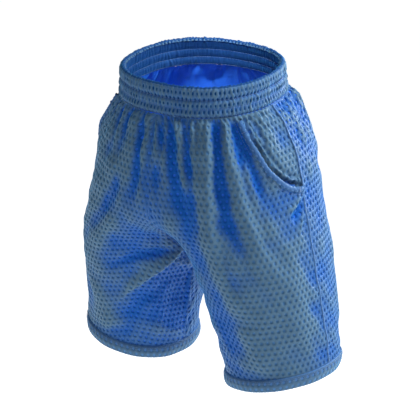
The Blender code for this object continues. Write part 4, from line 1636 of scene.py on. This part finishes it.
class SHORTS_OT_waistband(Operator):
    """Makes the gathered waistband with its three channels, elastics and stitches"""

    bl_idname = "shorts.waistband"
    bl_label = "Waistband"

    def execute(self, context):
        net = band_sheet(True, 0.0, BAND_NET_AROUND)
        piece = net_piece("waistband_net", net)
        belongs(piece, "band_cloth", "waistband_casing")
        declare(net)
        core = band_sheet(False, NET_DEPTH * 0.9, BAND_AROUND)
        piece = placed("waistband_lining", core.mesh("waistband_lining"), finish_of("band"))
        belongs(piece, "band_cloth")
        for name in ELASTICS:
            NODES[name].data.materials.clear()
            NODES[name].data.materials.append(finish_of("elastic"))
        angles, _, _ = even_angles(band_places, BAND_AROUND)
        rows = []
        level = 0.0
        for height in CHANNELS:
            level -= height
            place = np.full(BAND_AROUND, max(level, BAND_FOOT - BAND_HEIGHT))
            for inset in (-0.0001, BAND_THICKNESS + STITCH_LIFT):
                rows.append((band_places(angles[:-1], inset, place), True))
        piece = stitches("waistband_stitches", rows)
        belongs(piece, "thread")
        return {"FINISHED"}


class SHORTS_OT_hems(Operator):
    """Makes the folded band round the foot of each leg"""

    bl_idname = "shorts.hems"
    bl_label = "Hem Bands"

    def execute(self, context):
        net, core = hem_sheet(-0.0012, False), hem_sheet(-0.0002, True)
        angles, _, _ = even_angles(hem_places, HEM_AROUND)
        rows = [hem_places(angles[:-1], inset, np.full(HEM_AROUND, level))
                for inset, level in HEM_ROWS]
        for side, turn in ((LEFT, (1.0, 1.0, 1.0)), (RIGHT, (-1.0, 1.0, 1.0))):
            outer, inner = (net, core) if side == LEFT else (turned(net, turn), turned(core, turn))
            piece = net_piece(f"hem_net_{side}", outer)
            belongs(piece, "mesh_cloth", f"hem_band_{side}")
            declare(outer)
            piece = placed(f"hem_core_{side}", inner.mesh("hem_core"), finish_of("lining"))
            belongs(piece, "mesh_cloth")
            paths = [(row * np.array(turn), True) for row in rows]
            piece = stitches(f"hem_stitches_{side}", paths)
            belongs(piece, "thread")
        return {"FINISHED"}


class SHORTS_OT_seams(Operator):
    """Lays the raised welt down each outseam"""

    bl_idname = "shorts.seams"
    bl_label = "Outseam Welts"

    def execute(self, context):
        seams = context.scene.shorts_seams
        cloth = worn_cloth(5)
        section = lens_section(seams.welt_width / 2.0, seams.welt_height, 0.8, 12)
        for side in (LEFT, RIGHT):
            front = cloth.place[PANELS.index(f"front_{side}")]
            back = cloth.place[PANELS.index(f"back_{side}")]
            in_both = np.isfinite(front[:, 0] + back[:, 0])
            on_seam = np.where(in_both & (np.abs(front[:, 0]) < SEAM_NEAR))[0]
            on_seam = on_seam[np.argsort(-front[on_seam, 1])][1:-1:2]
            ahead = cloth.worn[on_seam].mean(axis=0) + np.array((0.0, -1.0, 0.0))
            sheet = tube(cloth.worn[on_seam], cloth.facing[on_seam], ahead, section)
            piece = placed(f"outseam_{side}", sheet.mesh("outseam"), finish_of("seam"))
            belongs(piece, "seam_cloth", f"outseam_welt_{side}")
        return {"FINISHED"}


# Soft lights: name, way from the aim (to the right, back to the camera, up), size, power
# over the key light's.
AREA_LIGHTS = (
    ("key_light", (1.7, 0.8, 1.4), 0.7, 1.0),
    ("rim_light", (1.6, -0.9, 0.7), 0.8, 0.45),
    ("soft_light", (-0.2, 2.4, 1.2), 1.2, 0.16),
)
OPENING_PLACE = (0.0, 1.2, 1.08)  # spot light's way from the aim
OPENING_AIM = (0.0, 0.03, -0.01)  # inside of the waistband, where the spot light points
OPENING_POWER = 4.6  # its power, over the key light's
OPENING_ANGLE = math.radians(8.5)
AIM = (0.0, 0.0, -0.26)  # middle of the shorts
AIM_RIGHT, AIM_UP = 0.0125, 0.0009  # way from there to the middle of the view
FLOOR_HALF = 12.0  # half the floor's side
FLOOR_TONES = ((0.93, 0.93, 0.93), (0.96, 0.96, 0.96))
FLOOR_GLOW = 0.80
SKY = (0.96, 0.98, 1.0)


class SHORTS_OT_stage(Operator):
    """Sets the floor, the lights and the camera"""

    bl_idname = "shorts.stage"
    bl_label = "Studio Stage"

    def execute(self, context):
        stage = context.scene.shorts_stage
        self.floor(stage.floor)
        self.right = Vector((math.cos(stage.azimuth), math.sin(stage.azimuth), 0.0))
        self.back = Vector((math.sin(stage.azimuth) * math.cos(stage.elevation),
                            -math.cos(stage.azimuth) * math.cos(stage.elevation),
                            math.sin(stage.elevation)))
        self.up = self.back.cross(self.right)
        self.aim = Vector(AIM) + self.right * AIM_RIGHT + self.up * AIM_UP

        camera = self.put("camera", bpy.data.cameras.new("camera"), (0.0, stage.distance, 0.0))
        camera.data.lens = stage.lens
        camera.rotation_euler = Matrix((self.right, self.up, self.back)).transposed().to_euler()
        context.scene.camera = camera

        for name, place, size, share in AREA_LIGHTS:
            light = self.put(name, bpy.data.lights.new(name, "AREA"), place)
            light.data.size = size
            light.data.energy = stage.key * share
            self.point(light, self.aim)
        inner = self.put("opening_light", bpy.data.lights.new("opening_light", "SPOT"),
                         OPENING_PLACE)
        inner.data.spot_size = OPENING_ANGLE
        inner.data.spot_blend = 0.6
        inner.data.shadow_soft_size = 0.05
        inner.data.energy = stage.key * OPENING_POWER
        self.point(inner, Vector(OPENING_AIM))

        world = context.scene.world or bpy.data.worlds.new("studio")
        context.scene.world = world
        world.use_nodes = True
        sky = world.node_tree.nodes["Background"]
        sky.inputs["Color"].default_value = opaque(SKY)
        sky.inputs["Strength"].default_value = stage.fill
        context.scene.view_settings.view_transform = "Standard"
        return {"FINISHED"}

    def floor(self, height):
        """Wide pale floor with a little glow of its own."""
        mesh = bpy.data.meshes.new("floor")
        corners = ((-1, -1), (1, -1), (1, 1), (-1, 1))
        mesh.from_pydata([(x * FLOOR_HALF, y * FLOOR_HALF, height) for x, y in corners], [],
                         [(0, 1, 2, 3)])
        finish = Finish("floor")
        place = finish.node("ShaderNodeTexCoord", None, None, "Object")
        tone = finish.tint(finish.noise(place, 0.8), *FLOOR_TONES)
        glow = {"Roughness": 0.8, "Emission Color": opaque((1.0, 1.0, 1.0)),
                "Emission Strength": FLOOR_GLOW}
        placed("floor", mesh, finish.surface(glow, Base_Color=tone))

    def put(self, name, data, place):
        """New object at a way to the right, back towards the camera and up from the aim."""
        made = bpy.data.objects.new(name, data)
        across, back, rise = place
        made.location = self.aim + self.right * across + self.back * back + self.up * rise
        bpy.context.collection.objects.link(made)
        return made

    @staticmethod
    def point(light, target):
        """Turns a light to its target."""
        light.rotation_euler = (light.location - target).to_track_quat("Z", "Y").to_euler()


class SHORTS_PT_sidebar(Panel):
    """Lists the steps in the order in which they are run"""

    bl_idname = "SHORTS_PT_sidebar"
    bl_label = "Athletic Shorts"
    bl_space_type = "VIEW_3D"
    bl_region_type = "UI"
    bl_category = "Shorts"

    def draw(self, context):
        for step in STEPS:
            self.layout.operator(step.bl_idname)
        for name in SETTINGS:
            box = self.layout.box()
            settings = getattr(context.scene, name)
            for prop in settings.bl_rna.properties:
                if prop.identifier not in ("rna_type", "name"):
                    box.prop(settings, prop.identifier)


STEPS = (SHORTS_OT_panels, SHORTS_OT_linings, SHORTS_OT_pockets, SHORTS_OT_waistband,
         SHORTS_OT_hems, SHORTS_OT_seams, SHORTS_OT_stage)
SETTINGS = {"shorts_net": ShortsNet, "shorts_look": ShortsLook, "shorts_waist": ShortsWaist,
            "shorts_pocket": ShortsPocket, "shorts_seams": ShortsSeams,
            "shorts_stage": ShortsStage}
CLASSES = (*SETTINGS.values(), *STEPS, SHORTS_PT_sidebar)


def register():
    for made in CLASSES:
        bpy.utils.register_class(made)
    for name, settings in SETTINGS.items():
        setattr(bpy.types.Scene, name, PointerProperty(type=settings))


def unregister():
    for name in SETTINGS:
        delattr(bpy.types.Scene, name)
    for made in reversed(CLASSES):
        bpy.utils.unregister_class(made)


def main():
    register()
    for step in STEPS:
        group, name = step.bl_idname.split(".")
        getattr(getattr(bpy.ops, group), name)()
    bpy.data.objects.remove(SHARED.pop("net_cell"))


if __name__ == "__main__":
    main()
